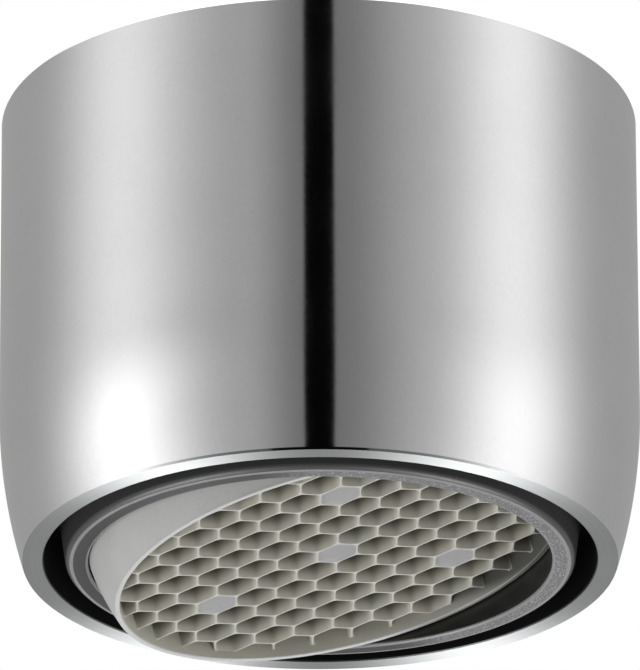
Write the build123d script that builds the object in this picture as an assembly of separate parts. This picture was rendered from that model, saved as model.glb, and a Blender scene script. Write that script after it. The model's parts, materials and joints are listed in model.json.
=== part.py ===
from build123d import *
import os
from math import asin, cos, degrees, hypot, radians, sin, sqrt

# Tap aerator with a swivelling outlet: a chromed housing screws onto a spout, and a moulded ball with a
# honeycomb outlet tilts and turns in a plastic socket inside it. Sizes are in millimetres and degrees.
# The origin is the centre of the washer's upper face, where the end of the spout seats, and +Z points up
# the spout. The ball stands tilted to one side, as far as it goes.

# Spout thread, a fine internal thread that stands here as its plain minor bore
thread_radius = 11.0
thread_height = 0.54
thread_length = 5.81
thread_lead_in = 0.6
thread_relief = 0.05

# Housing
housing_wall = 0.95
housing_edge_round = 0.12
barrel_height = 6.0
barrel_pull_in = 0.89
rim_width = 0.79
rim_edge_round = 0.15
recess_depth = 2.6
lip_thickness = 1.0
insert_step = 0.06

# Socket casing
casing_clearance = 0.15
groove_wall = 0.505
spigot_wall = 0.54
spigot_clearance = 0.2
nose_taper = 0.26
nose_edge_round = 0.28
nose_proud = 0.1
window_count = 12
window_width = 2.6
window_height = 0.55
window_step = 0.15

# Swivel ball, a zone of a ball between two latitudes
outlet_latitude = 21.0
inlet_latitude = 29.1
tilt_limit = 12.54
outlet_proud = 0.11
ball_rim_wall = 0.2
ball_inlet_wall = 0.495
ball_edge_round = 0.08
seat_clearance = 0.06
swing_clearance = 0.14
air_slot_count = 12
air_slot_width = 1.7
air_slot_height = 0.6
air_slot_step = 0.1

# Honeycomb outlet of the ball, whose filled cells are given by column and row
comb_recess = 0.35
comb_depth = 1.8
comb_turn = 8.94
cell_pitch = 1.521
cell_wall = 0.15
cell_least_share = 0.12
filled_cell_indices = ((0, 0), (2, 2), (-4, 2), (2, -4))

# Ball seal
seal_wire = 0.8
seal_latitude = 14.0
seal_gap = 0.04

# Ball retainer
retainer_clearance = 0.05
retainer_flange = 1.4
retainer_edge_round = 0.2
ledge_width = 0.785

# Strainer
strainer_clearance = 0.05
strainer_rim = 0.5
strainer_wall = 0.35
strainer_shoulder = 0.45
strainer_flank = 0.6
strainer_headroom = 0.3
strainer_hole_width = 0.95
strainer_hole_pitch = 1.45
strainer_hole_border = 0.7

# Sealing washer
washer_thickness = 2.0
washer_overlap = 0.25
washer_clearance = 0.06

# Mixing grids
grid_clearance = 0.05
grid_ring_wall = 0.5
grid_bar_height = 0.5
grid_bar_width = 0.4
grid_bar_pitch = 2.3
grid_lug_count = 6
grid_lug_reach = 0.55
grid_lug_width = 1.2
grid_tooth_count = 8
grid_tooth_width = 1.3
grid_tooth_height = 0.8
lower_grid_turn = 45.0

# Jet splitter
splitter_recess = 0.58
splitter_plate = 0.9
splitter_wall = 0.45
splitter_wall_height = 0.9
splitter_slot_width = 0.7
splitter_slot_length = 0.9
splitter_slot_border = 0.35
splitter_slot_step = 0.5
splitter_outer_count = 24
splitter_inner_count = 18
splitter_cone_gap = 0.5
splitter_cone_height = 0.7

# Radii from the thread inwards to the ball
thread_minor_radius = thread_radius - thread_height
insert_bore_radius = thread_minor_radius - insert_step
casing_radius = insert_bore_radius - casing_clearance
groove_radius = casing_radius - groove_wall
seal_ring_radius = groove_radius - seal_gap - seal_wire / 2
seal_reach = seal_ring_radius / cos(radians(seal_latitude))
ball_radius = seal_reach - seal_wire / 2 - seal_gap

# Radii from the ball outwards to the housing's lip, and from the thread outwards to its rim
socket_radius = ball_radius + seat_clearance
spigot_radius = socket_radius + spigot_wall
nose_radius = spigot_radius - nose_taper
lip_radius = spigot_radius + spigot_clearance
undercut_radius = thread_radius + thread_relief
housing_radius = undercut_radius + housing_wall
rim_outer_radius = housing_radius - barrel_pull_in
rim_inner_radius = rim_outer_radius - rim_width

# Heights inside the ball, above its centre, and the radii of what it holds
outlet_drop = ball_radius * sin(radians(outlet_latitude))
outlet_radius = ball_radius * cos(radians(outlet_latitude))
inlet_rise = ball_radius * sin(radians(inlet_latitude))
inlet_radius = ball_radius * cos(radians(inlet_latitude))
comb_radius = outlet_radius - ball_rim_wall
comb_face = comb_recess - outlet_drop
comb_top = comb_face + comb_depth
ball_bore_radius = inlet_radius - ball_inlet_wall
insert_radius = ball_bore_radius - grid_clearance
grid_ring_radius = insert_radius - grid_lug_reach
splitter_top = inlet_rise - splitter_recess
splitter_plate_top = splitter_top - splitter_wall_height
splitter_bottom = splitter_plate_top - splitter_plate
upper_grid_top = splitter_bottom - grid_tooth_height
lower_grid_top = (comb_top + upper_grid_top) / 2
grid_ring_height = lower_grid_top - comb_top

# Heights above the outlet rim of the housing
lip_top = recess_depth + lip_thickness
window_bottom = recess_depth - window_step - window_height
nose_height = window_bottom - window_step
ball_centre_height = outlet_drop - outlet_proud
seal_height = ball_centre_height + seal_reach * sin(radians(seal_latitude))
groove_floor = seal_height - seal_wire / 2 - seal_gap
retainer_bottom = seal_height + seal_wire / 2 + seal_gap
inlet_swept_rise = ball_radius * sin(radians(inlet_latitude + tilt_limit))
ledge_rise = inlet_swept_rise + swing_clearance
ledge_height = ball_centre_height + ledge_rise
retainer_top = ledge_height + strainer_rim
seat_height = retainer_top + washer_thickness
housing_height = seat_height + thread_length
casing_top = retainer_top - retainer_flange

# Radii of the strainer, and of the ledge and the washer that hold its rim
ledge_opening_radius = sqrt(socket_radius**2 - ledge_rise**2)
ledge_radius = ledge_opening_radius + ledge_width
strainer_rim_radius = ledge_radius - strainer_clearance
strainer_base_radius = strainer_rim_radius - strainer_shoulder
strainer_top_radius = strainer_base_radius - strainer_flank
washer_inner_radius = strainer_rim_radius - washer_overlap

# Small overrun of a cutting body past the wall that it opens
overrun = 0.1


def polar(centre, radius, angle):
    """Point of the turning half-plane, as radius and height, at an angle round a centre."""
    return (centre[0] + radius * cos(radians(angle)), centre[1] + radius * sin(radians(angle)))


def latitude(radius, rise):
    """Angle above the level through a circle's centre at which the circle has risen by a height."""
    return degrees(asin(rise / radius))


def section(points):
    """Points given as radius and height, set in the turning half-plane."""
    return [(radius, 0, height) for radius, height in points]


def arc(centre, radius, start, end):
    """Arc of the section round a centre, from one angle to another."""
    return ThreePointArc(*section(polar(centre, radius, angle) for angle in (start, (start + end) / 2, end)))


def path(*points):
    """Straight runs of the section through points given as radius and height."""
    return Polyline(*section(points))


def turned(*edges):
    """Solid turned about the axis from a closed section."""
    return revolve(make_face(edges), Axis.Z)


def block_ring(count, size, radius, height):
    """Blocks spaced evenly round the axis, with their length along the radius."""
    block = Pos(radius, 0, height) * Box(*size)
    return [Rot(0, 0, index * 360 / count) * block for index in range(count)]


def honeycomb(pitch, reach):
    """Column, row and centre of each cell of a hexagonal lattice, as far out as a radius."""
    row_pitch = pitch * sqrt(3) / 2
    span = int(2 * reach / pitch) + 1
    cells = []
    for row in range(-span, span + 1):
        for column in range(-span, span + 1):
            x = pitch * (column + row / 2)
            y = row_pitch * row
            if hypot(x, y) <= reach:
                cells.append((column, row, x, y))
    return cells


def hexagon(width):
    """Cell of the lattice, given by its width across flats."""
    return RegularPolygon(width / 2, 6, major_radius=False, rotation=30)


def make_housing():
    """Chromed barrel with the thread bore above, the insert bore below it and a lip over the outlet recess."""
    barrel_radius = (barrel_height**2 + barrel_pull_in**2) / (2 * barrel_pull_in)
    barrel_centre = (housing_radius - barrel_radius, barrel_height)
    rim_angle = -latitude(barrel_radius - rim_edge_round, barrel_height - rim_edge_round)
    rim_centre = polar(barrel_centre, barrel_radius - rim_edge_round, rim_angle)
    round_centre = (housing_radius - housing_edge_round, housing_height - housing_edge_round)
    return turned(
        arc(rim_centre, rim_edge_round, -90, rim_angle),
        arc(barrel_centre, barrel_radius, rim_angle, 0),
        path((housing_radius, barrel_height), (housing_radius, round_centre[1])),
        arc(round_centre, housing_edge_round, 0, 90),
        path(
            (round_centre[0], housing_height),
            (thread_minor_radius + thread_lead_in, housing_height),
            (thread_minor_radius, housing_height - thread_lead_in),
            (thread_minor_radius, seat_height),
            (undercut_radius, seat_height),
            (undercut_radius, retainer_top),
            (insert_bore_radius, retainer_top),
            (insert_bore_radius, lip_top),
            (lip_radius, lip_top),
            (lip_radius, recess_depth),
            (rim_inner_radius, recess_depth),
            (rim_inner_radius, 0),
            (rim_centre[0], 0),
        ),
    )


def make_sealing_washer():
    """Rubber washer between the retainer and the end of the spout."""
    ring = Circle(thread_minor_radius - washer_clearance) - Circle(washer_inner_radius)
    return Pos(0, 0, retainer_top) * extrude(ring, washer_thickness)


def make_strainer():
    """Cap whose rim lies in the retainer's ledge, with hexagonal holes through its flat top."""
    top = seat_height - strainer_headroom
    inner_base_radius = strainer_base_radius - strainer_wall
    inner_top_radius = strainer_top_radius - strainer_wall
    body = turned(
        path(
            (0, top),
            (strainer_top_radius, top),
            (strainer_base_radius, retainer_top),
            (strainer_rim_radius, retainer_top),
            (strainer_rim_radius, ledge_height),
            (inner_base_radius, ledge_height),
            (inner_base_radius, retainer_top),
            (inner_top_radius, top - strainer_wall),
            (0, top - strainer_wall),
            (0, top),
        )
    )
    drill = extrude(hexagon(strainer_hole_width), strainer_wall + 2 * overrun)
    reach = inner_top_radius - strainer_hole_border
    bottom = top - strainer_wall - overrun
    return body - [Pos(x, y, bottom) * drill for _, _, x, y in honeycomb(strainer_hole_pitch, reach)]


def make_socket_casing():
    """Socket that carries the ball from below, with the seal's groove, a counterbore and air windows."""
    ball_centre = (0, ball_centre_height)
    mouth_latitude = -latitude(socket_radius, ball_centre_height + nose_proud)
    mouth_radius = polar(ball_centre, socket_radius, mouth_latitude)[0]
    round_centre = (nose_radius - nose_edge_round, nose_edge_round - nose_proud)
    body = turned(
        arc(ball_centre, socket_radius, 0, mouth_latitude),
        path((mouth_radius, -nose_proud), (round_centre[0], -nose_proud)),
        arc(round_centre, nose_edge_round, -90, 0),
        path(
            (nose_radius, round_centre[1]),
            (spigot_radius, nose_height),
            (spigot_radius, lip_top),
            (casing_radius, lip_top),
            (casing_radius, casing_top),
            (groove_radius, casing_top),
            (groove_radius, groove_floor),
            (socket_radius, groove_floor),
            (socket_radius, ball_centre_height),
        ),
    )
    size = (spigot_radius - mouth_radius + 2 * overrun, window_width, window_height)
    middle = window_bottom + window_height / 2
    return body - block_ring(window_count, size, (spigot_radius + mouth_radius) / 2, middle)


def make_ball_retainer():
    """Ring that closes the socket over the ball and the seal, with a ledge for the strainer."""
    ball_centre = (0, ball_centre_height)
    low = latitude(socket_radius, retainer_bottom - ball_centre_height)
    high = latitude(socket_radius, ledge_rise)
    skirt_radius = groove_radius - retainer_clearance
    round_centre = (casing_radius - retainer_edge_round, retainer_top - retainer_edge_round)
    return turned(
        arc(ball_centre, socket_radius, low, high),
        path(
            polar(ball_centre, socket_radius, high),
            (ledge_radius, ledge_height),
            (ledge_radius, retainer_top),
            (round_centre[0], retainer_top),
        ),
        arc(round_centre, retainer_edge_round, 90, 0),
        path(
            (casing_radius, round_centre[1]),
            (casing_radius, casing_top),
            (skirt_radius, casing_top),
            (skirt_radius, retainer_bottom),
            polar(ball_centre, socket_radius, low),
        ),
    )


def make_ball_seal():
    """Rubber ring in the groove between the casing and the retainer, round the ball."""
    return Pos(0, 0, seal_height) * Torus(seal_ring_radius, seal_wire / 2)


def outlet_cells():
    """Open cells of the outlet, cut off at its border, in the ball's own plane."""
    cell = hexagon(cell_pitch - cell_wall)
    corner_radius = (cell_pitch - cell_wall) / sqrt(3)
    border = Circle(comb_radius)
    cells = []
    for column, row, x, y in honeycomb(cell_pitch, comb_radius + corner_radius):
        if (column, row) in filled_cell_indices:
            continue
        opening = Pos(x, y) * cell
        if hypot(x, y) + corner_radius > comb_radius:
            opening = opening & border
        if opening and opening.area > cell_least_share * cell.area:
            cells.append(opening)
    return cells


def make_swivel_ball():
    """Zone of a ball, moulded in one with its honeycomb outlet, with air slots above the honeycomb."""
    centre = (0, 0)
    low = -latitude(ball_radius, outlet_drop - ball_edge_round)
    body = turned(
        arc(centre, ball_radius, low, inlet_latitude),
        path(
            (inlet_radius, inlet_rise),
            (ball_bore_radius, inlet_rise),
            (ball_bore_radius, comb_top),
            (0, comb_top),
            (0, comb_face),
            (comb_radius, comb_face),
            (comb_radius, -outlet_drop),
            (outlet_radius - ball_edge_round, -outlet_drop),
            polar(centre, ball_radius, low),
        ),
    )
    cell_place = Rot(0, 0, comb_turn) * Pos(0, 0, comb_face - overrun)
    cells = [cell_place * extrude(opening, comb_depth + 2 * overrun) for opening in outlet_cells()]
    size = (ball_radius - ball_bore_radius + 2 * overrun, air_slot_width, air_slot_height)
    middle = comb_top + air_slot_step + air_slot_height / 2
    slots = block_ring(air_slot_count, size, (ball_radius + ball_bore_radius) / 2, middle)
    return body - cells - slots


def make_mixing_grid(bottom):
    """Ring with crossed bars level with its top and lugs that centre it in the ball's bore."""
    inner = grid_ring_radius - grid_ring_wall
    wall_middle = grid_ring_radius - grid_ring_wall / 2
    span = int(inner / grid_bar_pitch)
    bar = Rectangle(2 * grid_ring_radius, grid_bar_width)
    rows = [Pos(0, (index + 1 / 2) * grid_bar_pitch) * bar for index in range(-span, span)]
    columns = [Rot(0, 0, 90) * row for row in rows]
    bars = (Sketch() + rows + columns) & Circle(wall_middle)
    lug = Pos((wall_middle + insert_radius) / 2, 0) * Rectangle(insert_radius - wall_middle, grid_lug_width)
    lugs = [Rot(0, 0, index * 360 / grid_lug_count) * lug for index in range(grid_lug_count)]
    ring = (Circle(grid_ring_radius) + lugs) & Circle(insert_radius)
    body = extrude(ring - Circle(inner), grid_ring_height)
    body += Pos(0, 0, grid_ring_height - grid_bar_height) * extrude(bars, grid_bar_height)
    return Pos(0, 0, bottom) * body


def make_lower_mixing_grid():
    """Lower grid, which stands on the honeycomb and is turned against the upper one."""
    return Rot(0, 0, lower_grid_turn) * make_mixing_grid(comb_top)


def make_upper_mixing_grid():
    """Upper grid, which stands on the lower one and carries the splitter on teeth that let air in."""
    ring = Circle(grid_ring_radius) - Circle(grid_ring_radius - grid_ring_wall)
    tooth = Pos(grid_ring_radius, 0) * Rectangle(2 * grid_ring_wall, grid_tooth_width) & ring
    tooth = Pos(0, 0, upper_grid_top) * extrude(tooth, grid_tooth_height)
    teeth = [Rot(0, 0, index * 360 / grid_tooth_count) * tooth for index in range(grid_tooth_count)]
    return make_mixing_grid(lower_grid_top) + teeth


def make_jet_splitter():
    """Cup that splits the water into jets through two rings of slots, with a cone at its middle."""
    wall_radius = insert_radius - splitter_wall
    outer_ring_radius = wall_radius - splitter_slot_border - splitter_slot_length / 2
    inner_ring_radius = outer_ring_radius - splitter_slot_length - splitter_slot_step
    cone_radius = inner_ring_radius - splitter_slot_length / 2 - splitter_cone_gap
    body = turned(
        path(
            (0, splitter_bottom),
            (insert_radius, splitter_bottom),
            (insert_radius, splitter_top),
            (wall_radius, splitter_top),
            (wall_radius, splitter_plate_top),
            (cone_radius, splitter_plate_top),
            (0, splitter_plate_top + splitter_cone_height),
            (0, splitter_bottom),
        )
    )
    middle = (splitter_bottom + splitter_plate_top) / 2
    size = (splitter_slot_length, splitter_slot_width, splitter_plate + 2 * overrun)
    outer_ring = block_ring(splitter_outer_count, size, outer_ring_radius, middle)
    inner_ring = block_ring(splitter_inner_count, size, inner_ring_radius, middle)
    return body - outer_ring - inner_ring


# Places of the housing's pieces and of the ball's pieces
housing_place = Pos(0, 0, -seat_height)
ball_place = Pos(0, 0, ball_centre_height - seat_height) * Rot(0, -tilt_limit, 0)

housing_pieces = {
    "housing": make_housing,
    "sealing_washer": make_sealing_washer,
    "strainer": make_strainer,
    "socket_casing": make_socket_casing,
    "ball_retainer": make_ball_retainer,
    "ball_seal": make_ball_seal,
}
ball_pieces = {
    "swivel_ball": make_swivel_ball,
    "lower_mixing_grid": make_lower_mixing_grid,
    "upper_mixing_grid": make_upper_mixing_grid,
    "jet_splitter": make_jet_splitter,
}

os.makedirs("parts", exist_ok=True)
for place, pieces in ((housing_place, housing_pieces), (ball_place, ball_pieces)):
    for name, make in pieces.items():
        export_step(place * make(), f"parts/{name}.step")
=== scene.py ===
import json
import logging
import math
from dataclasses import dataclass, field, replace
from enum import Enum
from typing import Callable, ClassVar, Optional, Sequence, Union

import bmesh
import bpy
import numpy as np
from mathutils import Matrix, Vector


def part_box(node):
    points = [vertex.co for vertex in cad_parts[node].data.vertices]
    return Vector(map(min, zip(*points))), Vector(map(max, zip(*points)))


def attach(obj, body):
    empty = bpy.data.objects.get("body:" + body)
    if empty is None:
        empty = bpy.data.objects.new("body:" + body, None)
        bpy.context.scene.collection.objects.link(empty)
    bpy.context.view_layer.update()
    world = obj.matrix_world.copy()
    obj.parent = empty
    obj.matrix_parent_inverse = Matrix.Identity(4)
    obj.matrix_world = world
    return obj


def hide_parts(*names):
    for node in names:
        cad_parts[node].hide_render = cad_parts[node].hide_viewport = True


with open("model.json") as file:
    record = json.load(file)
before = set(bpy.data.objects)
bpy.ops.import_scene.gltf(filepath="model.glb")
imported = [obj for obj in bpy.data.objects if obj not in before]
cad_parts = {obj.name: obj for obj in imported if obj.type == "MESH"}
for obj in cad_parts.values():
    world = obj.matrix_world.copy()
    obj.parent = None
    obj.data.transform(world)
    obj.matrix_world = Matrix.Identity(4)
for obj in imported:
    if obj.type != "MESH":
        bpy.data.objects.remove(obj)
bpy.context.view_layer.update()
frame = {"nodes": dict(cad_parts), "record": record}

log = logging.getLogger("tap_aerator")

# Every size below is in millimetres, and the meshes are written in metres.
MM = 0.001

# Allowance for rounding in lengths, areas and slopes
TINY = 1e-6

# Sides of a cell, and the degrees from one to the next
CELL_SIDES = 6
SIDE_TURN = 60.0

WHITE = (1.0, 1.0, 1.0, 1.0)

Array = np.ndarray
Colour = tuple[float, float, float]
Direction = tuple[float, float, float]
Number = Union[float, "Field"]


class Body(Enum):
    """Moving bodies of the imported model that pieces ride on."""

    HOUSING = "housing_body"
    BALL = "ball_body"


class Slot(Enum):
    """Material slots of the record."""

    CHROME = "chrome"
    RUBBER = "seal_rubber"
    CASING = "casing_plastic"
    BALL = "ball_plastic"


# Fields: numbers that vary over a surface or over the sky


class Field:
    """A number that varies over a surface or over the sky, as the output of a shader node."""

    def __init__(self, socket: bpy.types.NodeSocket) -> None:
        """Wraps an output socket, whose node tree takes the nodes of every later step."""
        self.socket = socket
        self.tree = socket.id_data

    def math(self, operation: str, *others: Number) -> "Field":
        """Puts a Math node after this number.

        Args:
            operation: Name of the Math node's operation.
            others: Further operands, as plain numbers or fields.

        Returns:
            The node's result.
        """
        node = self.tree.nodes.new("ShaderNodeMath")
        node.operation = operation
        self.tree.links.new(self.socket, node.inputs[0])
        for value, target in zip(others, node.inputs[1:]):
            if isinstance(value, Field):
                self.tree.links.new(value.socket, target)
            else:
                target.default_value = value
        return Field(node.outputs[0])

    def __add__(self, other: Number) -> "Field":
        """Sum of two numbers."""
        return self.math("ADD", other)

    def __sub__(self, other: Number) -> "Field":
        """Difference of two numbers."""
        return self.math("SUBTRACT", other)

    def __mul__(self, other: Number) -> "Field":
        """Product of two numbers."""
        return self.math("MULTIPLY", other)

    def __rsub__(self, other: float) -> "Field":
        """A plain number less this one."""
        return self.math("MULTIPLY_ADD", -1.0, other)

    def __abs__(self) -> "Field":
        """Size of the number without its sign."""
        return self.math("ABSOLUTE")

    def larger(self, other: "Field") -> "Field":
        """The larger of two numbers."""
        return self.math("MAXIMUM", other)

    def bell(self, middle: float, spread: float) -> "Field":
        """Bell curve, which is e to the minus square of the distance from its middle over its spread."""
        distance = (self - middle) * (1.0 / spread)
        return (distance * distance * -1.0).math("EXPONENT")

    def ramp(self, start: float, end: float, low: float = 0.0, high: float = 1.0) -> "Field":
        """Eases the number from one value to another between two limits.

        Args:
            start: Where the ease begins.
            end: Where the ease ends.
            low: Value at the start.
            high: Value at the end.

        Returns:
            The eased number, which stays level beyond the limits.
        """
        node = self.tree.nodes.new("ShaderNodeMapRange")
        node.interpolation_type = "SMOOTHSTEP"
        falling = start > end
        limits = (end, start, high, low) if falling else (start, end, low, high)
        for value, name in zip(limits, ("From Min", "From Max", "To Min", "To Max")):
            node.inputs[name].default_value = value
        self.tree.links.new(self.socket, node.inputs["Value"])
        return Field(node.outputs["Result"])

    def into(self, target: bpy.types.NodeSocket) -> None:
        """Links the number to an input socket."""
        self.tree.links.new(self.socket, target)


def new_node(tree: bpy.types.NodeTree, kind: str, **values: object) -> bpy.types.Node:
    """Adds a node and sets its unlinked sockets.

    Args:
        tree: Tree that takes the node.
        kind: Blender's name of the node type.
        values: Socket values by socket name, with spaces written as underscores.

    Returns:
        The new node.
    """
    node = tree.nodes.new(kind)
    for name, value in values.items():
        node.inputs[name.replace("_", " ")].default_value = value
    return node


# Shared effects: shader node groups that put out masks and heights


class Effect:
    """A shader node group that more than one finish uses, built once."""

    name: str = "effect"
    inputs: dict[str, float] = {}
    outputs: tuple[str, ...] = ()

    def __init__(self) -> None:
        """Makes the group with its sockets and fills it."""
        self.tree = bpy.data.node_groups.new(self.name, "ShaderNodeTree")
        face = self.tree.interface
        face.new_socket("Vector", in_out="INPUT", socket_type="NodeSocketVector")
        for name, value in self.inputs.items():
            socket = face.new_socket(name, in_out="INPUT", socket_type="NodeSocketFloat")
            socket.default_value = value
        for name in self.outputs:
            face.new_socket(name, in_out="OUTPUT", socket_type="NodeSocketFloat")
        self.source = self.tree.nodes.new("NodeGroupInput")
        self.sink = self.tree.nodes.new("NodeGroupOutput")
        self.fill()

    def fill(self) -> None:
        """Adds the nodes of the effect between the group's input and output."""
        raise NotImplementedError

    def given(self, name: str) -> Field:
        """One of the group's inputs as a field."""
        return Field(self.source.outputs[name])

    def noise(self, scale: Number, detail: float, vector: Optional[bpy.types.NodeSocket] = None) -> Field:
        """Soft random pattern.

        Args:
            scale: Cells in a metre.
            detail: Octaves of finer pattern.
            vector: Coordinates, or None for the group's own input.

        Returns:
            The pattern, from 0 to 1 about a half.
        """
        node = new_node(self.tree, "ShaderNodeTexNoise", Detail=detail)
        self.tree.links.new(vector or self.source.outputs["Vector"], node.inputs["Vector"])
        if isinstance(scale, Field):
            scale.into(node.inputs["Scale"])
        else:
            node.inputs["Scale"].default_value = scale
        return Field(node.outputs["Fac"])

    def place(
        self, tree: bpy.types.NodeTree, vector: bpy.types.NodeSocket, **values: float
    ) -> bpy.types.Node:
        """Puts the group into a material.

        Args:
            tree: The material's node tree.
            vector: Coordinates that the pattern follows.
            values: Input values by name.

        Returns:
            The group's node in the material.
        """
        node = tree.nodes.new("ShaderNodeGroup")
        node.node_tree = self.tree
        tree.links.new(vector, node.inputs["Vector"])
        for name, value in values.items():
            node.inputs[name].default_value = value
        return node


class Mottle(Effect):
    """Uneven tone in two sizes: clouds of a given size, and a fine cast over them."""

    name = "mottle"
    inputs = {"Clouds": 300.0, "Cast": 3000.0}
    outputs = ("Mask",)
    clouds_share: float = 0.66
    clouds_detail: float = 3.0
    cast_detail: float = 2.0

    def fill(self) -> None:
        """Adds the two noises in their shares."""
        clouds = self.noise(self.given("Clouds"), self.clouds_detail)
        cast = self.noise(self.given("Cast"), self.cast_detail)
        mask = clouds * self.clouds_share + cast * (1.0 - self.clouds_share)
        mask.into(self.sink.inputs["Mask"])


class Stipple(Effect):
    """Grainy moulded face: round grains of a given size on a rough ground."""

    name = "stipple"
    inputs = {"Grains": 9000.0, "Ground": 3500.0}
    outputs = ("Height", "Grain")
    grain_edges: tuple[float, float] = (0.55, 0.05)
    grain_height: float = 0.5
    ground_height: float = 0.8
    ground_detail: float = 4.0

    def fill(self) -> None:
        """Adds grains, as distances to scattered points, to a noise."""
        cells = self.tree.nodes.new("ShaderNodeTexVoronoi")
        self.tree.links.new(self.source.outputs["Vector"], cells.inputs["Vector"])
        self.given("Grains").into(cells.inputs["Scale"])
        grain = Field(cells.outputs["Distance"]).ramp(*self.grain_edges)
        ground = self.noise(self.given("Ground"), self.ground_detail)
        (grain * self.grain_height + ground * self.ground_height).into(self.sink.inputs["Height"])
        grain.into(self.sink.inputs["Grain"])


class TurningMarks(Effect):
    """Rings that a lathe tool leaves: a fine pattern along the radius and the height, with a slow drift."""

    name = "turning_marks"
    inputs = {"Rings": 9000.0, "Drift": 250.0}
    outputs = ("Height", "Mask")
    climb: float = 0.5
    rings_share: float = 0.6
    rings_detail: float = 4.0
    drift_detail: float = 2.0

    def fill(self) -> None:
        """Reads a noise along the radius and, more slowly, the height, and adds the drift to its mask."""
        parts = self.tree.nodes.new("ShaderNodeSeparateXYZ")
        self.tree.links.new(self.source.outputs["Vector"], parts.inputs[0])
        across = Field(parts.outputs["X"])
        along = Field(parts.outputs["Y"])
        radius = (across * across + along * along).math("SQRT")
        place = self.tree.nodes.new("ShaderNodeCombineXYZ")
        radius.into(place.inputs["X"])
        (Field(parts.outputs["Z"]) * self.climb).into(place.inputs["Y"])
        rings = self.noise(self.given("Rings"), self.rings_detail, place.outputs[0])
        rings.into(self.sink.inputs["Height"])
        drift = self.noise(self.given("Drift"), self.drift_detail)
        (rings * self.rings_share + drift * (1.0 - self.rings_share)).into(self.sink.inputs["Mask"])


class Effects:
    """The shared effects, one of each."""

    def __init__(self) -> None:
        """Builds every group."""
        self.mottle = Mottle()
        self.stipple = Stipple()
        self.turning_marks = TurningMarks()


# Finishes: one material for each kind of surface


@dataclass(frozen=True)
class Canvas:
    """A material under construction.

    Attributes:
        tree: The material's node tree.
        shader: Its Principled shader.
        place: Object coordinates.
        effects: The shared node groups.
    """

    tree: bpy.types.NodeTree
    shader: bpy.types.Node
    place: bpy.types.NodeSocket
    effects: Effects

    def along(self, axis: Direction) -> Field:
        """Place along a direction, in metres from the origin."""
        node = self.tree.nodes.new("ShaderNodeVectorMath")
        node.operation = "DOT_PRODUCT"
        node.inputs[1].default_value = axis
        self.tree.links.new(self.place, node.inputs[0])
        return Field(node.outputs["Value"])

    def mix_in(self, colour: Colour, mask: Field) -> None:
        """Drifts the base colour, as it is so far, towards a colour by a mask."""
        base = self.shader.inputs["Base Color"]
        mix = self.tree.nodes.new("ShaderNodeMix")
        mix.data_type = "RGBA"
        first, second = (socket for socket in mix.inputs if socket.type == "RGBA")
        if base.is_linked:
            self.tree.links.new(base.links[0].from_socket, first)
        else:
            first.default_value = base.default_value
        second.default_value = (*colour, 1.0)
        mask.into(mix.inputs["Factor"])
        mixed = next(socket for socket in mix.outputs if socket.type == "RGBA")
        self.tree.links.new(mixed, base)


@dataclass(frozen=True)
class Finish:
    """A surface's material, worked out from its colours and gloss.

    Attributes:
        name: Name of the material.
        colour: Base colour, in linear light.
        shade: Colour that uneven places drift to.
        gloss: Roughness of the smoothest and of the dullest places.
        relief: Depth of the fine relief in millimetres.
        gloss_edges: Values of a pattern between which the gloss changes.
    """

    name: str
    colour: Colour
    shade: Colour
    gloss: tuple[float, float]
    relief: float
    gloss_edges: ClassVar[tuple[float, float]] = (0.3, 0.7)

    def make(self, effects: Effects) -> bpy.types.Material:
        """Builds the material.

        Args:
            effects: The shared node groups.

        Returns:
            The finished material.
        """
        material = bpy.data.materials.new(self.name)
        material.use_nodes = True
        tree = material.node_tree
        shader = tree.nodes["Principled BSDF"]
        shader.inputs["Base Color"].default_value = (*self.colour, 1.0)
        place = tree.nodes.new("ShaderNodeTexCoord").outputs["Object"]
        self.dress(Canvas(tree, shader, place, effects))
        return material

    def dress(self, canvas: Canvas) -> None:
        """Adds the nodes of this finish to its material."""
        raise NotImplementedError

    def dull(self, canvas: Canvas, mask: Field) -> None:
        """Drives the roughness between the two gloss values by a mask."""
        low, high = self.gloss
        (mask * (high - low) + low).into(canvas.shader.inputs["Roughness"])

    def emboss(self, canvas: Canvas, height: Field, share: float = 1.0) -> None:
        """Turns a height from 0 to 1 into relief of this finish's depth."""
        bump = new_node(canvas.tree, "ShaderNodeBump", Strength=share, Distance=self.relief * MM)
        height.into(bump.inputs["Height"])
        canvas.tree.links.new(bump.outputs["Normal"], canvas.shader.inputs["Normal"])

    def cloud(self, canvas: Canvas, clouds: float, cast: float, edges: tuple[float, float]) -> Field:
        """Clouds the tone and the gloss.

        Args:
            canvas: The material under construction.
            clouds: Clouds in a metre.
            cast: Finer spots in a metre.
            edges: Values of the pattern between which the tone changes.

        Returns:
            The pattern.
        """
        mottle = canvas.effects.mottle.place(canvas.tree, canvas.place, Clouds=clouds, Cast=cast)
        mask = Field(mottle.outputs["Mask"])
        canvas.mix_in(self.shade, mask.ramp(*edges))
        self.dull(canvas, mask.ramp(*self.gloss_edges))
        return mask

    def grain(self, canvas: Canvas, grains: float, ground: float, share: float) -> None:
        """Embosses a stipple.

        Args:
            canvas: The material under construction.
            grains: Grains in a metre.
            ground: Spots of the ground in a metre.
            share: Strength of the relief.
        """
        stipple = canvas.effects.stipple.place(canvas.tree, canvas.place, Grains=grains, Ground=ground)
        self.emboss(canvas, Field(stipple.outputs["Height"]), share)


@dataclass(frozen=True)
class Plating(Finish):
    """Bright plated metal with a faintly uneven gloss."""

    def dress(self, canvas: Canvas) -> None:
        """Adds a mottled gloss and tone to a metallic shader."""
        canvas.shader.inputs["Metallic"].default_value = 1.0
        mask = self.cloud(canvas, clouds=260.0, cast=5200.0, edges=(0.38, 0.66))
        self.emboss(canvas, mask)


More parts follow.
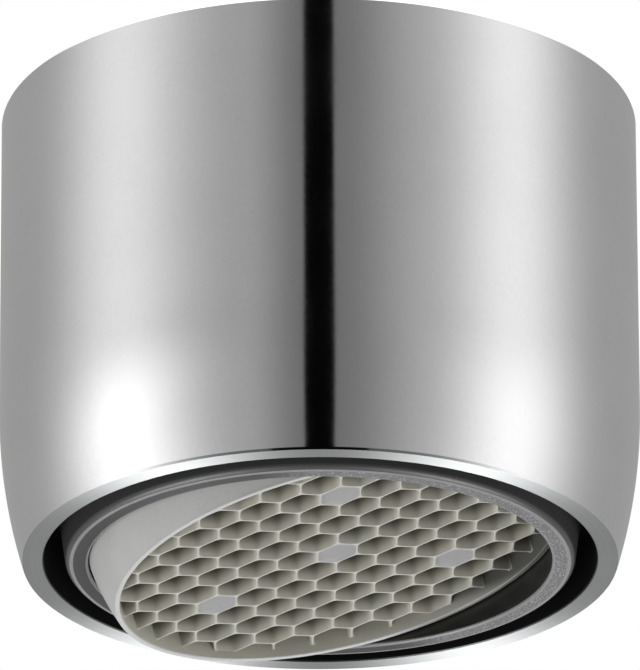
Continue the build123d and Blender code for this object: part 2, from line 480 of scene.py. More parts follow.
@dataclass(frozen=True)
class TurnedPlating(Finish):
    """Plated metal over turning marks, which spread its highlights across the rings.

    Attributes:
        spread: How much longer highlights are across the rings than along them.
        quarter_turn: Turn that lays the spread across the rings.
        tone_edges: Values of the marks between which the tone changes.
    """

    spread: float = 0.8
    quarter_turn: ClassVar[float] = 0.25
    tone_edges: ClassVar[tuple[float, float]] = (0.35, 0.65)

    def dress(self, canvas: Canvas) -> None:
        """Adds ring marks, and a tangent that runs round the axis."""
        tree, shader = canvas.tree, canvas.shader
        shader.inputs["Metallic"].default_value = 1.0
        shader.inputs["Anisotropic"].default_value = self.spread
        shader.inputs["Anisotropic Rotation"].default_value = self.quarter_turn
        tangent = tree.nodes.new("ShaderNodeTangent")
        tangent.direction_type = "RADIAL"
        tangent.axis = "Z"
        tree.links.new(tangent.outputs["Tangent"], shader.inputs["Tangent"])
        marks = canvas.effects.turning_marks.place(tree, canvas.place, Rings=7000.0, Drift=180.0)
        mask = Field(marks.outputs["Mask"])
        canvas.mix_in(self.shade, mask.ramp(*self.tone_edges))
        self.dull(canvas, mask.ramp(*self.gloss_edges))
        self.emboss(canvas, Field(marks.outputs["Height"]))


@dataclass(frozen=True)
class Moulding(Finish):
    """Moulded plastic with a fine even grain and a slightly clouded colour."""

    def dress(self, canvas: Canvas) -> None:
        """Adds clouds to the colour and a fine grain to the gloss and relief."""
        self.cloud(canvas, clouds=420.0, cast=7000.0, edges=(0.36, 0.66))
        self.grain(canvas, grains=26000.0, ground=12000.0, share=0.6)


@dataclass(frozen=True)
class DepthShadedMoulding(Finish):
    """Milky moulded plastic of thin walls, with a painted glow just inside the mouth and painted shade that
    warms and darkens with the depth.

    Attributes:
        glow: Colour of the walls just inside the mouth, painted as the light falls there.
        deep: Colour far inside, a painted shade.
        axis: Direction into the depth.
        mouth: Place of the mouth along the axis in millimetres.
        lip: Depth in millimetres at which the glow is reached.
        depth: Depth in millimetres at which the deep colour is reached.
    """

    glow: Colour = (0.6, 0.585, 0.51)
    deep: Colour = (0.1, 0.096, 0.062)
    axis: Direction = (0.0, 0.0, 1.0)
    mouth: float = 0.0
    lip: float = 0.025
    depth: float = 0.75

    def dress(self, canvas: Canvas) -> None:
        """Mixes the clouded colour with the painted glow, then with the painted shade of the deep colour, by
        the place along the axis.
        """
        self.cloud(canvas, clouds=700.0, cast=7000.0, edges=(0.36, 0.66))
        inwards = canvas.along(self.axis)
        stops = (self.mouth * MM, (self.mouth + self.lip) * MM, (self.mouth + self.depth) * MM)
        # Painted light: the colour moves to the glow just inside the mouth, then to the painted shade of the
        # deep colour along the axis.
        canvas.mix_in(self.glow, inwards.ramp(stops[0], stops[1]))
        canvas.mix_in(self.deep, inwards.ramp(stops[1], stops[2]))


@dataclass(frozen=True)
class StippledMoulding(Finish):
    """Moulded plastic with a coarse sparkling grain, as a spark-eroded mould leaves it.

    Attributes:
        smooth_shaded_side: Direction towards which the grain fades smooth and the face darkens to its shade
            colour, a painted shade.
        fade: Places along that direction in millimetres between which the grain begins.
        ground_tone: Share of a grain's tone that the ground between grains has.
        tone_edges: Values of a grain between which its tone changes.
    """

    smooth_shaded_side: Direction = (0.0, 0.0, 0.0)
    fade: tuple[float, float] = (0.0, -3.0)
    ground_tone: ClassVar[float] = 0.3
    tone_edges: ClassVar[tuple[float, float]] = (0.1, 0.9)

    def dress(self, canvas: Canvas) -> None:
        """Adds coarse grains to the colour, gloss and relief, and fades them towards one side, where the
        face darkens to its shade colour as painted shade.
        """
        stipple = canvas.effects.stipple.place(canvas.tree, canvas.place, Grains=11000.0, Ground=6500.0)
        # Painted shade: towards the smooth side the grain fades out and the colour falls fully to the dark
        # shade colour.
        rough_unshaded = canvas.along(self.smooth_shaded_side).ramp(self.fade[0] * MM, self.fade[1] * MM)
        grain = Field(stipple.outputs["Grain"]).ramp(*self.tone_edges, self.ground_tone, 1.0) * rough_unshaded
        canvas.mix_in(self.shade, 1.0 - grain)
        self.dull(canvas, grain)
        self.emboss(canvas, Field(stipple.outputs["Height"]) * rough_unshaded)


@dataclass(frozen=True)
class Rubber(Finish):
    """Dull rubber with a fine grain and a dusty bloom."""

    def dress(self, canvas: Canvas) -> None:
        """Adds a bloom to the colour and a grain to the relief."""
        self.cloud(canvas, clouds=500.0, cast=9000.0, edges=(0.4, 0.7))
        self.grain(canvas, grains=14000.0, ground=9000.0, share=0.7)


POLISHED_CHROME = Plating(
    "polished_chrome", (0.833, 0.833, 0.835), (0.803, 0.803, 0.805), (0.055, 0.085), 0.0006
)
TURNED_CHROME = TurnedPlating(
    "turned_chrome", (0.76, 0.775, 0.78), (0.69, 0.705, 0.71), (0.42, 0.48), 0.0015, spread=0.95
)
# Painted shade: near-black plating for the bore, lip and recess inside the housing stands in for the
# recess's shade.
SHADED_BORE_PLATING = TurnedPlating(
    "bore_plating", (0.07, 0.07, 0.07), (0.05, 0.05, 0.05), (0.3, 0.42), 0.003, spread=0.5
)
THREAD_PLATING = Plating("thread_plating", (0.62, 0.61, 0.58), (0.5, 0.485, 0.45), (0.22, 0.36), 0.002)
CASING_PLASTIC = Moulding("satin_casing", (0.058, 0.058, 0.059), (0.05, 0.05, 0.051), (0.25, 0.35), 0.0015)
# Painted highlight: a paler copy of the casing plastic for the nose's rounding, the end face's outer margin
# and the seat's edge at the mouth.
HIGHLIT_CASING_EDGE = Moulding("casing_edge", (0.22, 0.22, 0.224), (0.195, 0.195, 0.199), (0.12, 0.18), 0.0008)
# Painted shade: a darker copy of the casing plastic for the seat and the windows' sides inside the casing.
SHADED_CASING_SEAT = Moulding("casing_seat", (0.024, 0.024, 0.022), (0.018, 0.018, 0.017), (0.3, 0.4), 0.003)
# The end face's grain fades towards the left, where the face is darkened with painted shade.
CASING_STIPPLE = StippledMoulding(
    "casing_stipple", (0.33, 0.33, 0.34), (0.042, 0.042, 0.043), (0.34, 0.5), 0.03,
    smooth_shaded_side=(-0.986, 0.163, 0.0),
)
BALL_PLASTIC = Moulding("ivory_ball", (0.45, 0.45, 0.44), (0.41, 0.41, 0.40), (0.34, 0.46), 0.003)
# The cells carry painted light: a painted glow just inside their mouths and painted shade deeper in.
SHADED_COMB_PLASTIC = DepthShadedMoulding("comb_plastic", (0.42, 0.416, 0.39), (0.39, 0.385, 0.355), (0.38, 0.5), 0.003)
# Painted shade: the wall round the honeycomb darkens by height from the outlet up into the socket.
SHADED_BORDER_PLASTIC = DepthShadedMoulding(
    "border_plastic", (0.53, 0.52, 0.45), (0.5, 0.49, 0.42), (0.38, 0.5), 0.003,
    glow=(0.42, 0.412, 0.36), deep=(0.095, 0.094, 0.087), lip=0.85, depth=1.6,
)
# Painted shade: the outlet's lip darkens the same way by height up into the socket.
SHADED_LIP_PLASTIC = replace(
    SHADED_BORDER_PLASTIC, name="lip_plastic",
    colour=(0.47, 0.47, 0.46), shade=(0.43, 0.43, 0.42), glow=(0.4, 0.4, 0.385),
)
FILLED_CELL = Moulding("filled_cell", (0.28, 0.278, 0.283), (0.25, 0.248, 0.253), (0.32, 0.44), 0.006)
SEAL_RUBBER = Rubber("dusty_rubber", (0.018, 0.018, 0.019), (0.035, 0.035, 0.036), (0.6, 0.75), 0.012)
INSERT_PLASTIC = Moulding("white_insert", (0.5, 0.505, 0.51), (0.45, 0.455, 0.465), (0.3, 0.44), 0.006)


# Surfaces: points and faces worked out as whole arrays


@dataclass
class Surface:
    """Mesh under construction.

    Attributes:
        points: Corner points in millimetres, one a row.
        faces: Groups of faces with equally many corners, each given by point numbers.
        finishes: For each group, the number of each face's finish.
    """

    points: Array
    faces: list[Array] = field(default_factory=list)
    finishes: list[Array] = field(default_factory=list)

    def add(self, faces: Array, finish: Union[int, Array]) -> None:
        """Adds a group of faces with one finish, or with one for each face."""
        self.faces.append(faces)
        self.finishes.append(np.broadcast_to(finish, len(faces)))

    def join(self, other: "Surface") -> None:
        """Takes in another surface, whose point numbers follow this one's."""
        shift = len(self.points)
        self.points = np.concatenate([self.points, other.points])
        self.faces += [group + shift for group in other.faces]
        self.finishes += other.finishes

    def add_rings(self, rings: Array, height: float) -> Array:
        """Adds level rings of points.

        Args:
            rings: Points by ring and step.
            height: Height of the rings.

        Returns:
            Numbers of the new points, by ring and step.
        """
        first = len(self.points)
        flat = rings.reshape(-1, 2)
        self.points = np.concatenate([self.points, np.column_stack([flat, np.full(len(flat), height)])])
        return first + np.arange(len(flat)).reshape(rings.shape[:2])

    def moved(self, place: Array) -> "Surface":
        """Carries the points by a matrix of three rows and four columns, whose last column is the shift."""
        self.points = self.points @ place[:, :3].T + place[:, 3]
        return self

    def build(self, name: str, materials: Sequence[bpy.types.Material], crease: float) -> bpy.types.Object:
        """Writes the mesh, turns its faces outwards and shades it.

        Args:
            name: Name of the object and its mesh.
            materials: Finishes by number.
            crease: Angle in degrees past which an edge stays sharp.

        Returns:
            The new object, at the origin.
        """
        mesh = bpy.data.meshes.new(name)
        corners = [face for group in self.faces for face in group.tolist()]
        mesh.from_pydata((self.points * MM).tolist(), [], corners)
        for material in materials:
            mesh.materials.append(material)
        mesh.polygons.foreach_set("material_index", np.concatenate(self.finishes).astype(np.int32))
        mesh.polygons.foreach_set("use_smooth", np.ones(len(mesh.polygons), dtype=bool))
        shape = bmesh.new()
        shape.from_mesh(mesh)
        bmesh.ops.recalc_face_normals(shape, faces=shape.faces)
        shape.to_mesh(mesh)
        shape.free()
        mesh.set_sharp_from_angle(angle=math.radians(crease))
        mesh.validate()
        piece = bpy.data.objects.new(name, mesh)
        bpy.context.scene.collection.objects.link(piece)
        return piece


class Section:
    """Closed half-section of a turned piece, drawn as straight runs and arcs of radius and height."""

    def __init__(self) -> None:
        """Starts an empty section."""
        self.runs: list[Array] = []
        self.finishes: list[Array] = []

    def _add(self, run: Array, finish: int) -> "Section":
        """Adds a run of points, of which the last is left to the run that follows."""
        self.runs.append(run[:-1])
        self.finishes.append(np.full(len(run) - 1, finish))
        return self

    def line(
        self, start: Sequence[float], end: Sequence[float], steps: int = 1, finish: int = 0
    ) -> "Section":
        """Adds a straight run in equal steps."""
        share = np.linspace(0.0, 1.0, steps + 1)[:, None]
        return self._add(np.asarray(start) * (1.0 - share) + np.asarray(end) * share, finish)

    def lines(self, *points: Sequence[float], finish: int = 0) -> "Section":
        """Adds straight runs through points, one step each."""
        return self._add(np.asarray(points, dtype=float), finish)

    def arc(
        self, centre: Sequence[float], radius: float, start: float, end: float, steps: int, finish: int = 0
    ) -> "Section":
        """Adds an arc round a centre between two angles in degrees, in equal steps."""
        angle = np.radians(np.linspace(start, end, steps + 1))
        run = np.stack([centre[0] + radius * np.cos(angle), centre[1] + radius * np.sin(angle)], axis=1)
        return self._add(run, finish)

    def heights(
        self, radius_at: Callable[[Array], Array], levels: Sequence[float], steps: int, finish: int = 0
    ) -> "Section":
        """Adds a run through given levels, in equal steps between them.

        Args:
            radius_at: Radius as a function of height.
            levels: Heights that the run passes through, in order.
            steps: Steps between one level and the next.
            finish: Number of the run's finish.

        Returns:
            This section.
        """
        share = np.arange(steps * (len(levels) - 1) + 1) / steps
        height = np.interp(share, np.arange(len(levels)), levels)
        return self._add(np.stack([radius_at(height), height], axis=1), finish)

    def grids(self, columns: int) -> tuple[Array, Array]:
        """Radii and heights of all points of the closed section, repeated for every angle."""
        points = np.concatenate(self.runs)
        shape = (len(points), columns)
        return np.broadcast_to(points[:, :1], shape), np.broadcast_to(points[:, 1:], shape)

    def marks(self) -> Array:
        """Number of the finish of the step that leaves each point."""
        return np.concatenate(self.finishes)

    def count(self) -> int:
        """Number of points so far, which is the number of the next one."""
        return sum(len(run) for run in self.runs)


def turn(radius: Array, height: Array, angles: Array, marks: Array, closed: Array) -> Surface:
    """Turns a section about the axis.

    A point lies at its radius times the cosine and the sine of its angle, at its height. Radius and height
    are grids of section point by angle, so that either may vary round the axis.

    Args:
        radius: Radii, by section point and angle.
        height: Heights, by section point and angle.
        angles: Angles round the axis in radians.
        marks: Number of the finish of each section step.
        closed: Mask of the faces that are kept, by section step and angle step.

    Returns:
        The turned surface, with its last section step and angle step joined to the first.
    """
    points = np.stack([radius * np.cos(angles), radius * np.sin(angles), height], axis=2)
    rows, columns = radius.shape
    number = np.arange(rows * columns).reshape(rows, columns)
    below = np.roll(number, -1, axis=0)
    quads = np.stack([number, np.roll(number, -1, axis=1), np.roll(below, -1, axis=1), below], axis=2)
    surface = Surface(points.reshape(-1, 3))
    surface.add(quads[closed], np.broadcast_to(marks[:, None], closed.shape)[closed])
    return surface


@dataclass(frozen=True)
class WindowRow:
    """A ring of windows through the wall of a turned piece.

    Attributes:
        count: Windows round the ring.
        width: Width of a window.
        radius: Radius at which the width is measured.
        open_steps: Angle steps across a window.
        solid_steps: Angle steps between two windows.
        outer: First section point of the window in the outer wall.
        inner: First section point of the window in the inner wall, which runs the other way.
        steps: Section steps up a window.
    """

    count: int
    width: float
    radius: float
    open_steps: int
    solid_steps: int
    outer: int
    inner: int
    steps: int

    def angles(self) -> Array:
        """Angles round the axis, with a column at each side of each window."""
        half = math.asin(self.width / 2.0 / self.radius)
        gap = 2.0 * math.pi / self.count
        opened = np.linspace(-half, half, self.open_steps + 1)
        solid = np.linspace(half, gap - half, self.solid_steps + 1)[1:-1]
        one = np.concatenate([opened, solid])
        return (one + gap * np.arange(self.count)[:, None]).ravel()

    def first_columns(self) -> Array:
        """Column at which each window begins."""
        return np.arange(self.count) * (self.open_steps + self.solid_steps)

    def closed(self, rows: int) -> Array:
        """Mask of the faces that the windows leave, by section step and angle step."""
        mask = np.ones((rows, self.count * (self.open_steps + self.solid_steps)), dtype=bool)
        columns = (self.first_columns()[:, None] + np.arange(self.open_steps)).ravel()
        for first in (self.outer, self.inner):
            mask[first:first + self.steps, columns] = False
        return mask

    def reveals(self, columns: int) -> Array:
        """Faces of the windows' four sides, from the outer wall to the inner one.

        Args:
            columns: Angle steps round the piece.

        Returns:
            Faces by point number.
        """
        up = np.arange(self.steps + 1)
        across = np.arange(self.open_steps + 1)
        sides = [
            (np.zeros_like(across), across),
            (np.full_like(across, self.steps), across),
            (up, np.zeros_like(up)),
            (up, np.full_like(up, self.open_steps)),
        ]
        faces = []
        for rise, step in sides:
            column = self.first_columns()[:, None] + step
            outside = (self.outer + rise) * columns + column
            inside = (self.inner + self.steps - rise) * columns + column
            quad = np.stack([outside[:, :-1], outside[:, 1:], inside[:, 1:], inside[:, :-1]], axis=2)
            faces.append(quad.reshape(-1, 4))
        return np.concatenate(faces)


def turn_with_windows(section: Section, windows: WindowRow, reveal_finish: int) -> Surface:
    """Turns a section about the axis and opens a ring of windows in its wall.

    Args:
        section: Closed half-section.
        windows: The windows, by section points and angle steps.
        reveal_finish: Number of the finish of the windows' sides.

    Returns:
        The closed surface.
    """
    angles = windows.angles()
    radius, height = section.grids(len(angles))
    surface = turn(radius, height, angles, section.marks(), windows.closed(len(radius)))
    surface.add(windows.reveals(len(angles)), reveal_finish)
    return surface


# Sizes that pieces share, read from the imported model


def box_mm(node: str) -> tuple[Array, Array]:
    """Lowest and highest corner of a node in millimetres."""
    low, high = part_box(node)
    return np.array(low) / MM, np.array(high) / MM


def joint_named(name: str) -> dict:
    """The record's entry for a joint."""
    return next(joint for joint in frame["record"]["behaviour"]["joints"] if joint["name"] == name)


@dataclass(frozen=True)
class Frame:
    """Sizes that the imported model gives.

    Attributes:
        rim: Height of the housing's outlet rim.
        top: Height of the housing's upper end.
        radius: Outside radius of the housing.
        thread_radius: Minor radius of the thread.
        ball_height: Height of the ball's centre.
        ball_radius: Radius of the ball.
        tilt: Angle in degrees by which the ball stands tilted.
    """

    rim: float
    top: float
    radius: float
    thread_radius: float
    ball_height: float
    ball_radius: float
    tilt: float

    @classmethod
    def read(cls) -> "Frame":
        """Reads the sizes from the nodes' boxes and the record."""
        low, high = box_mm("housing")
        tilt = joint_named("swivel_tilt")
        mount = frame["record"]["mounts"][0]
        ball_low, ball_high = box_mm("swivel_ball")
        return cls(
            rim=low[2],
            top=high[2],
            radius=high[0],
            thread_radius=mount["dims"]["r_mm"],
            ball_height=tilt["pos_m"][2] / MM,
            ball_radius=(ball_high[1] - ball_low[1]) / 2.0,
            tilt=tilt["range_deg"][1] / 2.0,
        )


# Sub-assemblies


class ChromeFace(Enum):
    """Finishes of the housing, by number."""

    POLISHED = 0
    TURNED = 1
    BORE = 2
    THREAD = 3


@dataclass
class Housing:
    """Chromed barrel with its internal thread.

    Attributes:
        sizes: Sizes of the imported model.
        edge_round: Rounding of the upper outside edge.
        barrel_height: Height over which the outside pulls in towards the rim.
        pull_in: How far the outside pulls in.
        rim_width: Width of the rim, up to the corner where the outside would meet it.
        rim_crease: Width of the bevel between the outside and the rim.
        rim_crease_angle: Angle in degrees that the bevel faces, below the level.
        rim_bevel: Small bevel of the rim's inner edge.
        recess_depth: Depth of the outlet recess.
        lip_thickness: Thickness of the lip that carries the casing.
        lip_radius: Opening of the lip.
        bore_radius: Bore that takes the casing.
        undercut_radius: Relief at the lower end of the thread.
        undercut_height: Height of the relief.
        lead_in: Chamfer at the mouth of the thread.
        pitch: Pitch of the thread.
        thread_height: Height of the thread.
        crest_share: Share of half a pitch that the thread's crest takes.
        flank_share: Share of half a pitch that a flank takes.
        segments: Angle steps round the axis.
        rim_steps: Steps across the rim.
        barrel_steps: Steps up the part that pulls in.
        side_steps: Steps up the straight side.
        round_steps: Steps round the upper edge.
        lead_in_steps: Steps down the chamfer.
        thread_steps: Steps down the thread.
        crease: Angle in degrees past which an edge stays sharp.
    """

    sizes: Frame
    edge_round: float = 0.12
    barrel_height: float = 6.0
    pull_in: float = 0.89
    rim_width: float = 0.79
    rim_crease: float = 0.1
    rim_crease_angle: float = 21.5
    rim_bevel: float = 0.04
    recess_depth: float = 2.6
    lip_thickness: float = 1.0
    lip_radius: float = 9.95
    bore_radius: float = 10.4
    undercut_radius: float = 11.05
    undercut_height: float = 2.0
    lead_in: float = 0.6
    pitch: float = 1.0
    thread_height: float = 0.54
    crest_share: float = 0.25
    flank_share: float = 0.625
    segments: int = 288
    rim_steps: int = 8
    barrel_steps: int = 40
    side_steps: int = 12
    round_steps: int = 24
    lead_in_steps: int = 14
    thread_steps: int = 110
    crease: float = 4.0

    def section(self) -> Section:
        """Half-section from the rim up the outside, over the top and down the bore."""
        polished, turned, bore, thread = (face.value for face in ChromeFace)
        rim, top, radius = self.sizes.rim, self.sizes.top, self.sizes.radius
        minor = self.sizes.thread_radius
        barrel = (self.barrel_height**2 + self.pull_in**2) / (2.0 * self.pull_in)
        inner = radius - self.pull_in - self.rim_width
        centre = (radius - barrel, rim + self.barrel_height)
        facing = math.radians(self.rim_crease_angle)
        crease = rim + self.rim_crease * math.cos(facing)
        low = -math.asin((centre[1] - crease) / barrel)
        shoulder = centre[0] + barrel * math.cos(low)
        corner = shoulder - self.rim_crease * math.sin(facing)
        top_centre = (radius - self.edge_round, top - self.edge_round)
        recess = rim + self.recess_depth
        lip = recess + self.lip_thickness
        section = Section()
        section.line((inner + self.rim_bevel, rim), (corner, rim), self.rim_steps, turned)
        section.line((corner, rim), (shoulder, crease), 2, polished)
        section.arc(centre, barrel, math.degrees(low), 0.0, self.barrel_steps, polished)
        section.line((radius, centre[1]), (radius, top_centre[1]), self.side_steps, polished)
        section.arc(top_centre, self.edge_round, 0.0, 90.0, self.round_steps, polished)
        section.line((top_centre[0], top), (minor + self.lead_in, top), 2, turned)
        section.line((minor + self.lead_in, top), (minor, top - self.lead_in), self.lead_in_steps, thread)
        section.line((minor, top - self.lead_in), (minor, 0.0), self.thread_steps, thread)
        # The relief, bore, lip and recess take the near-black plating, a painted shade.
        section.lines(
            (minor, 0.0),
            (self.undercut_radius, 0.0),
            (self.undercut_radius, -self.undercut_height),
            (self.bore_radius, -self.undercut_height),
            (self.bore_radius, lip),
            (self.lip_radius, lip),
            (self.lip_radius, recess),
            (inner, recess),
            (inner, rim + self.rim_bevel),
            (inner + self.rim_bevel, rim),
            finish=bore,
        )
        return section

    def threaded(self, radius: Array, height: Array, angles: Array) -> Array:
        """Cuts the thread into the bore.

        The groove's depth is a wave of the height over the pitch less the angle over a full turn, with
        straight flanks that are cut off at the crest and at the root. The bore is as wide as the groove or
        the plain section, whichever is more.

        Args:
            radius: Radii of the plain section, by section point and angle.
            height: Heights, by section point and angle.
            angles: Angles round the axis in radians.

        Returns:
            Radii with the thread.
        """
        turns = height / self.pitch - angles / (2.0 * math.pi)
        wave = np.abs(2.0 * (turns % 1.0) - 1.0)
        groove = np.clip((wave - self.crest_share) / self.flank_share, 0.0, 1.0)
        minor = self.sizes.thread_radius
        cut = minor + self.thread_height * groove
        in_bore = (radius > minor - TINY) & (radius < minor + self.lead_in + TINY) & (height > -TINY)
        return np.where(in_bore, np.maximum(radius, cut), radius)

    def build(self, effects: Effects) -> list[bpy.types.Object]:
        """Builds the barrel in place of its solid.

        Args:
            effects: The shared node groups.

        Returns:
            The finished piece.
        """
        section = self.section()
        angles = np.linspace(0.0, 2.0 * math.pi, self.segments, endpoint=False)
        radius, height = section.grids(self.segments)
        radius = self.threaded(radius, height, angles)
        surface = turn(radius, height, angles, section.marks(), np.ones(radius.shape, dtype=bool))
        faces = (POLISHED_CHROME, TURNED_CHROME, SHADED_BORE_PLATING, THREAD_PLATING)
        finishes = [finish.make(effects) for finish in faces]
        barrel = surface.build("threaded_barrel", finishes, self.crease)
        dress_piece(barrel, "housing", Body.HOUSING)
        return [barrel]


class CasingFace(Enum):
    """Finishes of the socket casing, by number."""

    OUTSIDE = 0
    STIPPLED = 1
    EDGE = 2
    SEAT = 3


@dataclass
class SocketCasing:
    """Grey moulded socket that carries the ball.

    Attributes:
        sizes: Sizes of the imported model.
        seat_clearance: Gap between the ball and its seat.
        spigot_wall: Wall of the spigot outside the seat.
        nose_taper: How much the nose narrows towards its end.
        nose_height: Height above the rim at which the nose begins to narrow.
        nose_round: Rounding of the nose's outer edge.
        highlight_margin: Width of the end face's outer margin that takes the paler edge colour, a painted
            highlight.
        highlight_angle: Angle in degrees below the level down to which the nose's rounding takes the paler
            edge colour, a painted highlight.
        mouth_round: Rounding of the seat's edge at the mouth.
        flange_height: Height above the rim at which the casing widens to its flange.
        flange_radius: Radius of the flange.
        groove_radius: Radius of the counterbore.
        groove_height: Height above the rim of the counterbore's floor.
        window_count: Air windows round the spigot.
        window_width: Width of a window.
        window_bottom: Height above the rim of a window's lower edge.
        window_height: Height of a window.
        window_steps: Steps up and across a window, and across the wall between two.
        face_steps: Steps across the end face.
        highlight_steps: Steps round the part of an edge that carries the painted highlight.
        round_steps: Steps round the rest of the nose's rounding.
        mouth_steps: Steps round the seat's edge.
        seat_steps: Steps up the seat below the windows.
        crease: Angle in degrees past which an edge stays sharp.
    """

    sizes: Frame
    seat_clearance: float = 0.06
    spigot_wall: float = 0.54
    nose_taper: float = 0.26
    nose_height: float = 1.75
    nose_round: float = 0.28
    highlight_margin: float = 0.03
    highlight_angle: float = 68.0
    mouth_round: float = 0.1
    flange_height: float = 3.6
    flange_radius: float = 10.25
    groove_radius: float = 9.745
    groove_height: float = 5.05
    window_count: int = 12
    window_width: float = 2.6
    window_bottom: float = 1.9
    window_height: float = 0.55
    window_steps: tuple[int, int, int] = (4, 10, 14)
    face_steps: int = 10
    highlight_steps: int = 6
    round_steps: int = 10
    mouth_steps: int = 8
    seat_steps: int = 12
    crease: float = 35.0

    def nose_round_centre(self, nose: float, end: float, slope: float) -> tuple[float, float]:
        """Middle of the rounding between the casing's end face and the sloping side of its nose.

        Args:
            nose: Radius of the nose where its side meets the end face.
            end: Height of the end face.
            slope: Angle of the side in degrees from upright.

        Returns:
            Radius and height of the middle.
        """
        back = self.nose_round * math.tan(math.radians(45.0 - slope / 2.0))
        return nose - back, end + self.nose_round

    def build(self, effects: Effects) -> list[bpy.types.Object]:
        """Builds the casing in place of its solid.

        Args:
            effects: The shared node groups.

        Returns:
            The finished piece.
        """
        outside, stippled, highlit, shaded_seat = (face.value for face in CasingFace)
        rim = self.sizes.rim
        centre = self.sizes.ball_height
        low, high = box_mm("socket_casing")
        end, top = low[2], high[2]
        seat = self.sizes.ball_radius + self.seat_clearance
        spigot = seat + self.spigot_wall
        nose = spigot - self.nose_taper
        shoulder = rim + self.nose_height
        wall = np.vectorize(lambda height: math.sqrt(seat**2 - (height - centre) ** 2))
        slope = math.degrees(math.atan2(self.nose_taper, shoulder - end))
        round_centre = self.nose_round_centre(nose, end, slope)
        touch = math.radians(-slope)
        last = (
            round_centre[0] + self.nose_round * math.cos(touch),
            round_centre[1] + self.nose_round * math.sin(touch),
        )
        levels = (rim + self.window_bottom, rim + self.window_bottom + self.window_height)
        up, across, between = self.window_steps
        section = Section()
        mouth = wall(end + self.mouth_round) + self.mouth_round
        margin = round_centre[0] - self.highlight_margin
        section.line((mouth, end), (margin, end), self.face_steps, stippled)
        # The outer margin and the lower part of the nose's rounding take the paler copy as a painted
        # highlight.
        section.line((margin, end), (round_centre[0], end), 2, highlit)
        section.arc(round_centre, self.nose_round, -90.0, -self.highlight_angle, self.highlight_steps, highlit)
        section.arc(round_centre, self.nose_round, -self.highlight_angle, -slope, self.round_steps, outside)
        section.lines(last, (spigot, shoulder), (spigot, levels[0]))
        outer = section.count()
        section.line((spigot, levels[0]), (spigot, levels[1]), up)
        section.lines(
            (spigot, levels[1]),
            (spigot, rim + self.flange_height),
            (self.flange_radius, rim + self.flange_height),
            (self.flange_radius, top),
            (self.groove_radius, top),
            (self.groove_radius, rim + self.groove_height),
            (seat, rim + self.groove_height),
            (seat, centre),
        )
        # The seat and the windows' sides take the darker copy as painted shade.
        section.heights(wall, (centre, levels[1]), up, shaded_seat)
        inner = section.count()
        section.heights(wall, (levels[1], levels[0]), up, shaded_seat)
        section.heights(wall, (levels[0], end + self.mouth_round), self.seat_steps, shaded_seat)
        mouth_centre = (mouth, end + self.mouth_round)
        # The seat's edge at the mouth takes the paler copy too, a painted highlight.
        section.arc(mouth_centre, self.mouth_round, 180.0, 270.0, self.mouth_steps, highlit)
        windows = WindowRow(
            self.window_count, self.window_width, spigot, across, between, outer, inner, up
        )
        surface = turn_with_windows(section, windows, shaded_seat)
        faces = (CASING_PLASTIC, CASING_STIPPLE, HIGHLIT_CASING_EDGE, SHADED_CASING_SEAT)
        finishes = [finish.make(effects) for finish in faces]
        casing = surface.build("ball_socket", finishes, self.crease)
        dress_piece(casing, "socket_casing", Body.HOUSING)
        return [casing]


class BallFace(Enum):
    """Finishes of the swivel ball, by number."""

    SKIN = 0
    COMB = 1
    FILLED = 2
    BORDER = 3
    LIP = 4


